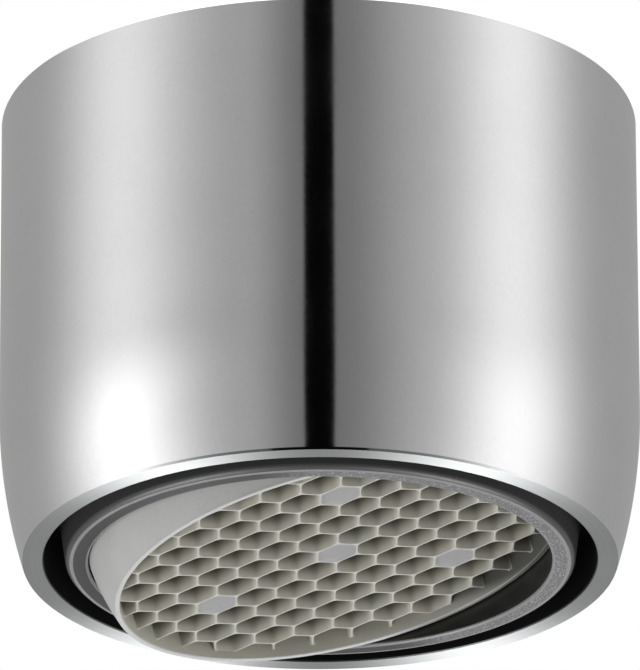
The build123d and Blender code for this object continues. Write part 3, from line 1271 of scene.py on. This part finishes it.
@dataclass
class Honeycomb:
    """Plate of hexagonal cells with rounded corners, cut off by a round border.

    Attributes:
        pitch: Distance between the middles of two cells.
        wall: Thickness of the walls at their edge.
        turn: Angle in degrees by which the cells are turned about the axis.
        border: Radius of the round border.
        overlap: How far the plate reaches into the wall round it.
        face: Height of the open face, below the ball's centre.
        depth: Depth of the cells.
        draft: How much each side of a wall gains through the depth.
        edge_round: Rounding of the walls' edges.
        corner: Sharpness of the cells' corners, as the power of their norm.
        least_share: Least share of a whole cell that is still opened at the border.
        reach: How far the openings reach past the border into the wall round it.
        filled: Column and row of each filled cell.
        sink: How far a filling sinks inside its walls.
        sink_width: Width over which it sinks.
        drawn_in: Share of its distance from the border by which an outside point is drawn in.
        sliver: Least share of a whole cell that still belongs to the plate.
        inner_sliver: Least share inside the border that a cell's own middle is taken from.
        inside: Share of the border's radius inside which the cells' middles are taken.
        least_room: Least distance to a wall that an opening is worked out with.
        weld_digits: Decimal places to which the points that cells share are matched.
        edge_steps: Steps along each side of a cell.
        wall_steps: Steps round a wall's edge, and again through its depth.
        sink_steps: Steps across the width over which a filling sinks.
    """

    pitch: float
    wall: float
    turn: float
    border: float
    overlap: float
    face: float
    depth: float
    draft: float
    edge_round: float
    corner: float
    least_share: float
    reach: float
    filled: tuple[tuple[int, int], ...]
    sink: float = 0.06
    sink_width: float = 0.2
    drawn_in: float = 0.99
    sliver: float = 1e-4
    inner_sliver: float = 1e-3
    inside: float = 0.999
    least_room: float = 1e-3
    weld_digits: int = 6
    edge_steps: int = 8
    wall_steps: int = 4
    sink_steps: int = 5

    def lattice(self) -> tuple[Array, Array]:
        """Cells that reach into the plate.

        Returns:
            Columns and rows of the cells, and their middles.
        """
        span = int(2.0 * self.border / self.pitch) + 2
        row, column = np.mgrid[-span:span + 1, -span:span + 1].reshape(2, -1)
        middle = self.pitch * np.stack([column + row / 2.0, row * math.sqrt(3.0) / 2.0], axis=1)
        near = np.hypot(*middle.T) < self.border + self.overlap + self.pitch / math.sqrt(3.0)
        return np.stack([column, row], axis=1)[near], middle[near]

    def outlines(self, middles: Array, radius: float) -> Array:
        """Outlines of the cells' shares of a disc.

        Each hexagon is walked in equal steps along its sides, and what lies outside the disc is drawn in
        along its radius, almost to the border. Neighbours keep the points that they share, and points on one
        radius stay apart.

        Args:
            middles: Middles of the cells.
            radius: Radius of the disc.

        Returns:
            Points by cell and step.
        """
        corner = np.radians(SIDE_TURN * (np.arange(CELL_SIDES + 1) + 0.5))
        corners = self.pitch / math.sqrt(3.0) * np.stack([np.cos(corner), np.sin(corner)], axis=1)
        share = np.arange(self.edge_steps)[:, None] / self.edge_steps
        walk = corners[:-1, None] * (1.0 - share) + corners[1:, None] * share
        points = middles[:, None] + walk.reshape(1, -1, 2)
        distance = np.linalg.norm(points, axis=2, keepdims=True)
        outside = np.maximum(distance - radius, 0.0)
        return points * (1.0 - self.drawn_in * outside / np.maximum(distance, radius))

    @staticmethod
    def areas(outline: Array) -> tuple[Array, Array]:
        """Area and middle of each outline, as the sum of the triangles that its first point makes."""
        start = outline[:, :1]
        here = outline - start
        there = np.roll(here, -1, axis=1)
        cross = here[..., 0] * there[..., 1] - here[..., 1] * there[..., 0]
        area = cross.sum(axis=1) / 2.0
        moment = ((here + there) * cross[..., None]).sum(axis=1) / 6.0
        return area, start[:, 0] + moment / np.maximum(area, TINY)[:, None]

    def openings(self, middles: Array, centres: Array, outline: Array, inset: float) -> Array:
        """Outlines of the openings, seen from a point inside each cell.

        In each direction the distance to the opening's side is a soft least of the distances to the six
        walls, moved in by the inset, but not more than the distance to the border and the reach past it. The
        soft least is the norm of the inverse distances, inverted, which rounds the corners.

        Args:
            middles: Middles of the whole cells.
            centres: Points that the openings are seen from.
            outline: Outlines of the cells, which give the directions.
            inset: Distance from a cell's own side to the opening.

        Returns:
            Points by cell and step.
        """
        way = outline - centres[:, None]
        way = way / np.linalg.norm(way, axis=2, keepdims=True)
        angle = np.radians(SIDE_TURN * np.arange(CELL_SIDES))
        normal = np.stack([np.cos(angle), np.sin(angle)], axis=1)
        room = self.pitch / 2.0 - inset - (centres - middles) @ normal.T
        facing = np.maximum(way @ normal.T, TINY)
        near = room[:, None] / facing
        along = (way * centres[:, None]).sum(axis=2)
        limit = self.border + self.reach
        beyond = limit**2 - (centres**2).sum(axis=1)[:, None] + along**2
        ring = -along + np.sqrt(np.maximum(beyond, TINY))
        soft = (np.maximum(near, self.least_room) ** -self.corner).sum(axis=2) ** (-1.0 / self.corner)
        return centres[:, None] + way * np.minimum(soft, ring)[..., None]

    def surface(self) -> Surface:
        """Builds the closed plate: both faces, the cells' walls, the filled cells and the outer edge.

        Returns:
            The plate about the ball's own axis.
        """
        columns_rows, middles = self.lattice()
        whole = self.pitch**2 * math.sqrt(3.0) / 2.0
        area, _ = self.areas(self.outlines(middles, self.border + self.overlap))
        kept = area > self.sliver * whole
        columns_rows, middles = columns_rows[kept], middles[kept]
        outline = self.outlines(middles, self.border + self.overlap)
        inner_area, _ = self.areas(self.outlines(middles, self.border))
        _, centres = self.areas(self.outlines(middles, self.border * self.inside))
        has_middle = inner_area > self.inner_sliver * whole
        centres = np.where(has_middle[:, None], centres, outline.mean(axis=1))
        filled = np.array(self.filled)
        is_filled = (columns_rows[:, None] == filled).all(axis=2).any(axis=1)
        opened = (inner_area > self.least_share * whole) & ~is_filled
        welded = np.round(outline.reshape(-1, 2), self.weld_digits)
        shared, number = np.unique(welded, axis=0, return_inverse=True)
        number = number.reshape(outline.shape[:2])
        surface = Surface(np.empty((0, 3)))
        for level in (self.face, self.face + self.depth):
            surface.add_rings(shared[None], level)
        self._add_walls(surface, middles, centres, outline, number, len(shared), opened)
        self._add_fillings(surface, middles, outline, number, is_filled)
        self._add_lids(surface, number, len(shared), ~opened, is_filled)
        self._add_edge(surface, number, len(shared))
        spin = np.array(Matrix.Rotation(math.radians(self.turn), 3, "Z"))
        surface.points = surface.points @ spin.T
        return surface

    def _add_walls(
        self,
        surface: Surface,
        middles: Array,
        centres: Array,
        outline: Array,
        number: Array,
        shared: int,
        opened: Array,
    ) -> None:
        """Adds the walls of the open cells, as loops from the open face through the depth to the far face.

        What lies on the round border takes its finish.

        Args:
            surface: Surface that takes the walls.
            middles: Middles of the cells.
            centres: Points inside the cells.
            outline: Outlines of the cells.
            number: Point numbers of the outlines.
            shared: Number of points on one face.
            opened: Mask of the open cells.
        """
        half = self.wall / 2.0
        arc = np.radians(np.linspace(0.0, 90.0, self.wall_steps + 1))
        insets = half - self.edge_round * (1.0 - np.sin(arc))
        heights = self.face + self.edge_round * (1.0 - np.cos(arc))
        deep = np.linspace(0.0, 1.0, self.wall_steps + 1)[1:]
        insets = np.concatenate([insets, half + self.draft * deep])
        heights = np.concatenate([heights, heights[-1] + (self.face + self.depth - heights[-1]) * deep])
        loops = [number[opened]]
        for inset, height in zip(insets, heights):
            rings = self.openings(middles[opened], centres[opened], outline[opened], inset)
            loops.append(surface.add_rings(rings, height))
        loops.append(number[opened] + shared)
        for here, there in zip(loops[:-1], loops[1:]):
            quads = np.stack([here, np.roll(here, -1, axis=1), np.roll(there, -1, axis=1), there], axis=2)
            quads = quads.reshape(-1, 4)
            on_border = np.hypot(*surface.points[:, :2].T)[quads].min(axis=1) > self.border
            surface.add(quads[~on_border], BallFace.COMB.value)
            surface.add(quads[on_border], BallFace.BORDER.value)

    def _add_fillings(
        self, surface: Surface, middles: Array, outline: Array, number: Array, is_filled: Array
    ) -> None:
        """Adds the open face of the filled cells, which sinks softly inside the edge of its walls.

        Args:
            surface: Surface that takes the fillings.
            middles: Middles of the cells.
            outline: Outlines of the cells.
            number: Point numbers of the outlines.
            is_filled: Mask of the filled cells.
        """
        loop = number[is_filled]
        share = np.linspace(0.0, 1.0, self.sink_steps + 1)
        insets = self.wall / 2.0 + self.sink_width * share
        heights = self.face + self.sink * (1.0 - np.cos(math.pi * share)) / 2.0
        for inset, height in zip(insets, heights):
            rings = self.openings(middles[is_filled], middles[is_filled], outline[is_filled], inset)
            inner = surface.add_rings(rings, height)
            quads = np.stack([loop, np.roll(loop, -1, axis=1), np.roll(inner, -1, axis=1), inner], axis=2)
            finish = BallFace.COMB if inset == insets[0] else BallFace.FILLED
            surface.add(quads.reshape(-1, 4), finish.value)
            loop = inner
        surface.add(loop, BallFace.FILLED.value)

    @staticmethod
    def _add_lids(surface: Surface, number: Array, shared: int, closed: Array, is_filled: Array) -> None:
        """Closes the cells that aren't open, on both faces, apart from the fillings of the open face."""
        surface.add(number[closed & ~is_filled], BallFace.COMB.value)
        surface.add(number[closed] + shared, BallFace.COMB.value)

    @staticmethod
    def _add_edge(surface: Surface, number: Array, shared: int) -> None:
        """Joins both faces along the sides that only one cell has, which make the round border."""
        sides = np.stack([number, np.roll(number, -1, axis=1)], axis=2).reshape(-1, 2)
        sides = sides[sides[:, 0] != sides[:, 1]]
        _, first, count = np.unique(np.sort(sides, axis=1), axis=0, return_index=True, return_counts=True)
        border = sides[first[count == 1]]
        quads = np.column_stack([border, border[:, ::-1] + shared])
        surface.add(quads, BallFace.COMB.value)


@dataclass
class SwivelBall:
    """Ivory moulded ball zone with its honeycomb outlet.

    Attributes:
        sizes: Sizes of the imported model.
        outlet_latitude: Angle in degrees below the ball's level at which the outlet is cut.
        inlet_latitude: Angle in degrees above the ball's level at which the inlet is cut.
        rim_wall: Wall of the outlet's rim.
        inlet_wall: Wall of the inlet's rim.
        edge_round: Rounding of the outlet's edges.
        comb_recess: Depth of the honeycomb behind the outlet.
        comb_depth: Depth of the honeycomb.
        comb_overlap: How far the honeycomb reaches into the wall round it.
        slot_count: Air slots round the ball.
        slot_width: Width of an air slot.
        slot_step: Height of an air slot above the honeycomb.
        slot_height: Height of an air slot.
        cell_pitch: Distance between the middles of two cells.
        cell_wall: Thickness of the walls between cells.
        cell_draft: How much each side of a wall gains through the depth.
        cell_edge_round: Rounding of the walls' edges.
        cell_corner: Sharpness of the cells' corners, as the power of their norm.
        cell_least_share: Least share of a whole cell that is still opened at the border.
        cell_reach: How far openings reach past the border into the wall round it.
        comb_turn: Angle in degrees by which the cells are turned.
        filled_cells: Column and row of each filled cell.
        seat_depth: How far the honeycomb's far face stands past the step that it sits on.
        slot_steps: Steps up and across an air slot, and across the wall between two.
        skin_steps: Steps up the ball below and above the slots.
        round_steps: Steps round an edge of the outlet.
        border_steps: Steps up the wall round the honeycomb.
        crease: Angle in degrees past which an edge stays sharp.
    """

    sizes: Frame
    outlet_latitude: float = 21.0
    inlet_latitude: float = 29.1
    rim_wall: float = 0.2
    inlet_wall: float = 0.495
    edge_round: float = 0.08
    comb_recess: float = 0.35
    comb_depth: float = 1.8
    comb_overlap: float = 0.16
    slot_count: int = 12
    slot_width: float = 1.7
    slot_step: float = 0.1
    slot_height: float = 0.6
    cell_pitch: float = 1.521
    cell_wall: float = 0.065
    cell_draft: float = 0.06
    cell_edge_round: float = 0.02
    cell_corner: float = 11.0
    cell_least_share: float = 0.12
    cell_reach: float = 0.02
    comb_turn: float = 8.94
    filled_cells: tuple[tuple[int, int], ...] = ((0, 0), (2, 2), (-4, 2), (2, -4))
    seat_depth: float = 0.04
    slot_steps: tuple[int, int, int] = (4, 8, 14)
    skin_steps: tuple[int, int] = (16, 24)
    round_steps: int = 6
    border_steps: int = 4
    crease: float = 38.0

    def place(self) -> Array:
        """Matrix that tilts the ball about its centre, as it stands at rest."""
        tilt = np.array(Matrix.Rotation(math.radians(-self.sizes.tilt), 3, "Y"))
        return np.column_stack([tilt, [0.0, 0.0, self.sizes.ball_height]])

    def shell(self) -> Surface:
        """Ball zone with its bore, its thin outlet rim and its air slots, about the ball's own axis."""
        ball = self.sizes.ball_radius
        low, high = math.radians(self.outlet_latitude), math.radians(self.inlet_latitude)
        drop, rise = ball * math.sin(low), ball * math.sin(high)
        outlet, bore = ball * math.cos(low), ball * math.cos(high) - self.inlet_wall
        comb = outlet - self.rim_wall
        comb_top = self.comb_recess - drop + self.comb_depth
        levels = (comb_top + self.slot_step, comb_top + self.slot_step + self.slot_height)
        edge = self.edge_round
        sphere = np.vectorize(lambda height: math.sqrt(ball**2 - height**2))
        foot = -drop + edge
        up, across, between = self.slot_steps
        below, above = self.skin_steps
        section = Section()
        section.line((comb + edge, -drop), (outlet - edge, -drop), 2, BallFace.LIP.value)
        section.arc((sphere(foot) - edge, foot), edge, -90.0, -self.outlet_latitude, self.round_steps)
        start = foot - edge * math.sin(low)
        section.heights(sphere, (start, levels[0]), below)
        outer = section.count()
        section.heights(sphere, (levels[0], levels[1]), up)
        section.heights(sphere, (levels[1], rise), above)
        section.lines((sphere(rise), rise), (bore, rise), (bore, levels[1]))
        inner = section.count()
        section.line((bore, levels[1]), (bore, levels[0]), up)
        sunk = comb_top - self.seat_depth
        section.lines((bore, levels[0]), (bore, sunk), (comb, sunk))
        section.line((comb, sunk), (comb, foot), self.border_steps, BallFace.BORDER.value)
        section.arc((comb + edge, foot), edge, 180.0, 270.0, self.round_steps, BallFace.LIP.value)
        windows = WindowRow(self.slot_count, self.slot_width, ball, across, between, outer, inner, up)
        return turn_with_windows(section, windows, BallFace.SKIN.value)

    def honeycomb(self) -> Honeycomb:
        """The plate of cells, sized from the outlet."""
        low = math.radians(self.outlet_latitude)
        return Honeycomb(
            pitch=self.cell_pitch,
            wall=self.cell_wall,
            turn=self.comb_turn,
            border=self.sizes.ball_radius * math.cos(low) - self.rim_wall,
            overlap=self.comb_overlap,
            face=self.comb_recess - self.sizes.ball_radius * math.sin(low),
            depth=self.comb_depth,
            draft=self.cell_draft,
            edge_round=self.cell_edge_round,
            corner=self.cell_corner,
            least_share=self.cell_least_share,
            reach=self.cell_reach,
            filled=self.filled_cells,
        )

    def build(self, effects: Effects) -> list[bpy.types.Object]:
        """Builds the ball in place of its solid.

        Args:
            effects: The shared node groups.

        Returns:
            The finished piece.
        """
        comb = self.honeycomb()
        surface = self.shell()
        surface.join(comb.surface())
        place = self.place()
        # The cells' painted glow and shade run along the ball's axis from the honeycomb's face; the painted
        # shade of the border and the lip rises from the outlet's height at rest.
        mouth = comb.face + float(place[:, 3] @ place[:, 2])
        cells = replace(SHADED_COMB_PLASTIC, axis=tuple(place[:, 2]), mouth=mouth)
        outlet = place @ [0.0, 0.0, comb.face - self.comb_recess, 1.0]
        border, lip = (replace(wall, mouth=float(outlet[2])) for wall in (SHADED_BORDER_PLASTIC, SHADED_LIP_PLASTIC))
        finishes = [finish.make(effects) for finish in (BALL_PLASTIC, cells, FILLED_CELL, border, lip)]
        ball = surface.moved(place).build("honeycomb_ball", finishes, self.crease)
        dress_piece(ball, "swivel_ball", Body.BALL)
        return [ball]


@dataclass
class SealingWasher:
    """Rubber washer with soft edges.

    Attributes:
        overlap: How far it reaches over the strainer's rim.
        edge_round: Rounding of the edges.
        segments: Angle steps round the axis.
        side_steps: Steps along each side of the section.
        round_steps: Steps round each edge.
        crease: Angle in degrees past which an edge stays sharp.
    """

    overlap: float = 0.25
    edge_round: float = 0.2
    segments: int = 192
    side_steps: int = 4
    round_steps: int = 6
    crease: float = 40.0

    def build(self, effects: Effects) -> list[bpy.types.Object]:
        """Builds the washer in place of its solid.

        Args:
            effects: The shared node groups.

        Returns:
            The finished piece.
        """
        low, high = box_mm("sealing_washer")
        inner = box_mm("strainer")[1][0] - self.overlap
        bottom, top, outer = low[2], high[2], high[0]
        soft = self.edge_round
        sides = (
            ((inner + soft, bottom), (outer - soft, bottom)),
            ((outer, bottom + soft), (outer, top - soft)),
            ((outer - soft, top), (inner + soft, top)),
            ((inner, top - soft), (inner, bottom + soft)),
        )
        section = Section()
        for angle, (start, end) in zip((-90.0, 0.0, 90.0, 180.0), sides):
            facing = math.radians(angle)
            centre = (end[0] - soft * math.cos(facing), end[1] - soft * math.sin(facing))
            section.line(start, end, self.side_steps)
            section.arc(centre, soft, angle, angle + 90.0, self.round_steps)
        angles = np.linspace(0.0, 2.0 * math.pi, self.segments, endpoint=False)
        radius, height = section.grids(self.segments)
        surface = turn(radius, height, angles, section.marks(), np.ones(radius.shape, dtype=bool))
        washer = surface.build("soft_washer", [SEAL_RUBBER.make(effects)], self.crease)
        dress_piece(washer, "sealing_washer", Body.HOUSING)
        return [washer]


@dataclass
class InnerPieces:
    """Solids that keep their own mesh and get a finish."""

    finishes: tuple[tuple[str, Finish], ...] = (
        ("strainer", INSERT_PLASTIC),
        ("ball_retainer", CASING_PLASTIC),
        ("ball_seal", SEAL_RUBBER),
        ("lower_mixing_grid", INSERT_PLASTIC),
        ("upper_mixing_grid", INSERT_PLASTIC),
        ("jet_splitter", INSERT_PLASTIC),
    )

    def build(self, effects: Effects) -> list[bpy.types.Object]:
        """Puts a finish on each solid.

        Args:
            effects: The shared node groups.

        Returns:
            The dressed solids.
        """
        pieces = []
        for node, finish in self.finishes:
            piece = frame["nodes"][node]
            piece.data.materials.clear()
            piece.data.materials.append(bpy.data.materials.get(finish.name) or finish.make(effects))
            pieces.append(piece)
        return pieces


def dress_piece(piece: bpy.types.Object, node: str, body: Body) -> None:
    """Lets a piece stand for a node, which it hides, and ride on a body."""
    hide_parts(node)
    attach(piece, body.value)


# Studio: sky, floor and camera


@dataclass(frozen=True)
class LightPanel:
    """Soft upright panel of the light tent.

    Attributes:
        heading: Direction of its middle, in degrees from the camera.
        spread: Half its width in degrees, to where it has fallen to about a third.
        light: Brightness at the level that the cylinder mirrors.
        low_light: Brightness that it gains towards the horizon.
    """

    heading: float
    spread: float
    light: float
    low_light: float


@dataclass(frozen=True)
class FootPanel:
    """Soft round panel below the object.

    Attributes:
        heading: Direction of its middle, in degrees from the camera.
        height: Direction of its middle, in degrees above the level.
        spread: Half its width in degrees, to where it has fallen to about a third.
        rise: Half its height in degrees, to where it has fallen to about a third.
        light: Brightness at its middle.
    """

    heading: float
    height: float
    spread: float
    rise: float
    light: float


@dataclass(frozen=True)
class LightTent:
    """Sky of a white light tent with a slot for the camera, as the chrome mirrors it.

    Attributes:
        heading: Direction of the camera, in degrees from straight in front.
        cloth: Brightness of the tent's cloth.
        slot: Half the width of the slot in degrees.
        slot_edge: Width of the slot's edge in degrees.
        slot_light: Brightness inside the slot.
        slot_flare: How much the slot widens below the object, in degrees.
        shade: Share of the cloth's brightness beside the slot.
        shade_reach: Angles in degrees, left and right, at which the cloth is out of the slot's shade.
        panels: Soft panels round the object.
        foot_panels: Soft panels below it.
        roof: Brightness overhead.
        roof_edge: Heights in degrees between which the roof begins.
        low_edge: Heights in degrees between which the panels gain their low light.
        ground: Brightness of the tent's ground, in front and behind.
        ground_edge: Heights in degrees between which the ground begins.
    """

    heading: float
    cloth: float = 0.364
    slot: float = 4.7
    slot_edge: float = 1.4
    slot_light: float = 0.001
    slot_flare: float = 14.0
    shade: float = 0.5
    shade_reach: tuple[float, float] = (27.0, 37.0)
    panels: tuple[LightPanel, ...] = (LightPanel(-75.5, 27.0, 0.51, 0.5), LightPanel(74.5, 26.0, 0.6, 0.22))
    foot_panels: tuple[FootPanel, ...] = (
        FootPanel(-88.0, -54.3, 40.6, 15.5, 6.9),
        FootPanel(88.0, -54.3, 40.6, 15.5, 6.9),
    )
    roof: float = 1.6
    roof_edge: tuple[float, float] = (36.0, 48.0)
    low_edge: tuple[float, float] = (21.0, 4.0)
    ground: tuple[float, float] = (0.08, 0.27)
    ground_edge: tuple[float, float] = (-10.0, -22.0)

    def brightness(self, azimuth: Field, height: Field) -> Field:
        """Brightness of the sky as a formula of the direction.

        Args:
            azimuth: Degrees to the right of the camera, as seen from the object.
            height: Degrees above the level.

        Returns:
            The brightness.
        """
        away = abs(azimuth)
        left, right = self.shade_reach
        shades = (self.cloth * self.shade, self.cloth)
        sky = azimuth.ramp(self.slot, right, *shades).larger(azimuth.ramp(-self.slot, -left, *shades))
        low = height.ramp(*self.low_edge)
        for panel in self.panels:
            sky = sky + azimuth.bell(panel.heading, panel.spread) * (low * panel.low_light + panel.light)
        down = height.ramp(*self.ground_edge)
        sky = sky * (1.0 - down) + down * away.ramp(0.0, 180.0, *self.ground)
        beside = away - down * self.slot_flare
        sky = sky * beside.ramp(self.slot, self.slot + self.slot_edge) + self.slot_light
        for panel in self.foot_panels:
            glow = azimuth.bell(panel.heading, panel.spread) * height.bell(panel.height, panel.rise)
            sky = sky + glow * panel.light
        roofed = height.ramp(*self.roof_edge)
        return sky * (1.0 - roofed) + roofed * self.roof

    def build(self) -> None:
        """Builds the sky, of which the camera itself sees plain white."""
        world = bpy.data.worlds.new("light_tent")
        bpy.context.scene.world = world
        world.use_nodes = True
        tree = world.node_tree
        tree.nodes.clear()
        parts = tree.nodes.new("ShaderNodeSeparateXYZ")
        tree.links.new(tree.nodes.new("ShaderNodeTexCoord").outputs["Generated"], parts.inputs[0])
        across, along, up = (Field(parts.outputs[name]) for name in "XYZ")
        turned = math.radians(self.heading)
        side = across * math.cos(turned) + along * math.sin(turned)
        front = across * math.sin(turned) - along * math.cos(turned)
        azimuth = side.math("ARCTAN2", front).math("DEGREES")
        height = up.math("ARCSINE").math("DEGREES")
        tent = new_node(tree, "ShaderNodeBackground", Color=WHITE)
        self.brightness(azimuth, height).into(tent.inputs["Strength"])
        white = new_node(tree, "ShaderNodeBackground", Color=WHITE)
        mix = tree.nodes.new("ShaderNodeMixShader")
        tree.links.new(tree.nodes.new("ShaderNodeLightPath").outputs["Is Camera Ray"], mix.inputs[0])
        tree.links.new(tent.outputs[0], mix.inputs[1])
        tree.links.new(white.outputs[0], mix.inputs[2])
        tree.links.new(mix.outputs[0], tree.nodes.new("ShaderNodeOutputWorld").inputs["Surface"])


@dataclass(frozen=True)
class Floor:
    """Plain pale floor, well below the raised object.

    Attributes:
        drop: Height of the floor in metres.
        half: Half its width in metres.
        steps: Squares along each side.
        colour: Its colour, in linear light.
        roughness: Its roughness.
    """

    drop: float = -0.6
    half: float = 3.0
    steps: int = 8
    colour: Colour = (0.9, 0.9, 0.9)
    roughness: float = 0.8

    def build(self) -> bpy.types.Object:
        """Builds the floor as a level grid."""
        line = np.linspace(-self.half, self.half, self.steps + 1)
        x, y = np.meshgrid(line, line)
        points = np.stack([x, y, np.full_like(x, self.drop)], axis=2).reshape(-1, 3)
        number = np.arange(len(points)).reshape(x.shape)
        quads = np.stack([number[:-1, :-1], number[:-1, 1:], number[1:, 1:], number[1:, :-1]], axis=2)
        mesh = bpy.data.meshes.new("floor")
        mesh.from_pydata(points.tolist(), [], quads.reshape(-1, 4).tolist())
        material = bpy.data.materials.new("pale_floor")
        material.use_nodes = True
        shader = material.node_tree.nodes["Principled BSDF"]
        shader.inputs["Base Color"].default_value = (*self.colour, 1.0)
        shader.inputs["Roughness"].default_value = self.roughness
        mesh.materials.append(material)
        floor = bpy.data.objects.new("floor", mesh)
        bpy.context.scene.collection.objects.link(floor)
        floor.visible_glossy = False
        floor.visible_diffuse = False
        floor.visible_shadow = False
        return floor


@dataclass(frozen=True)
class PhotoCamera:
    """Camera at the photograph's viewing angle.

    Attributes:
        heading: Direction in degrees from straight in front, towards +X.
        height: Direction in degrees above the level.
        distance: Distance from the target in metres.
        target_height: Height of the target above the rim in millimetres.
        lens: Focal length in millimetres.
        film: Long side of the film in millimetres.
        clip: Least and largest distance that it sees, in metres.
        long_side: Long side of the picture in pixels.
        drop: How far below the picture's middle the target lies, in pixels.
        left: How far left of the picture's middle the target lies, in pixels.
        roll: Turn of the picture in degrees.
    """

    heading: float = 7.43
    height: float = -22.74
    distance: float = 0.4231
    target_height: float = 8.765
    lens: float = 605.1
    film: float = 36.0
    clip: tuple[float, float] = (0.01, 20.0)
    long_side: float = 670.0
    drop: float = 10.05
    left: float = 0.5
    roll: float = -0.20

    def build(self, rim: float) -> bpy.types.Object:
        """Makes the camera.

        Args:
            rim: Height of the housing's rim in millimetres.

        Returns:
            The scene's camera.
        """
        data = bpy.data.cameras.new("photo_camera")
        data.sensor_fit = "AUTO"
        data.sensor_width = self.film
        data.lens = self.lens
        data.clip_start, data.clip_end = self.clip
        camera = bpy.data.objects.new("photo_camera", data)
        bpy.context.scene.collection.objects.link(camera)
        target = Vector((0.0, 0.0, (rim + self.target_height) * MM))
        way = direction(self.heading, self.height)
        pixel = self.film / self.lens / self.long_side
        aim = (-way).to_track_quat("-Z", "Y").to_matrix()
        aim = aim @ Matrix.Rotation(math.radians(self.roll), 3, "Z")
        aim = aim @ Matrix.Rotation(self.drop * pixel, 3, "X") @ Matrix.Rotation(-self.left * pixel, 3, "Y")
        camera.matrix_world = Matrix.Translation(target + way * self.distance) @ aim.to_4x4()
        bpy.context.scene.camera = camera
        return camera


def direction(heading: float, height: float) -> Vector:
    """Unit vector from the object towards a heading from straight in front and a height, in degrees."""
    turned, raised = math.radians(heading), math.radians(height)
    level = math.cos(raised)
    return Vector((math.sin(turned) * level, -math.cos(turned) * level, math.sin(raised)))


@dataclass
class Studio:
    """Everything that shows the object and isn't part of it."""

    camera: PhotoCamera = PhotoCamera()
    floor: Floor = Floor()

    def build(self, sizes: Frame) -> None:
        """Sets up the sky, the floor and the camera.

        Args:
            sizes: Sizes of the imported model.
        """
        bpy.context.scene.view_settings.view_transform = "Standard"
        LightTent(self.camera.heading).build()
        self.floor.build()
        self.camera.build(sizes.rim)


def main() -> None:
    """Builds every piece of the aerator and the studio round it."""
    logging.basicConfig(level=logging.INFO, format="%(name)s: %(message)s")
    sizes = Frame.read()
    effects = Effects()
    makers = (Housing(sizes), SocketCasing(sizes), SwivelBall(sizes), SealingWasher(), InnerPieces())
    for maker in makers:
        for piece in maker.build(effects):
            log.info("%s: %d faces", piece.name, len(piece.data.polygons))
    Studio().build(sizes)


if __name__ == "__main__":
    main()
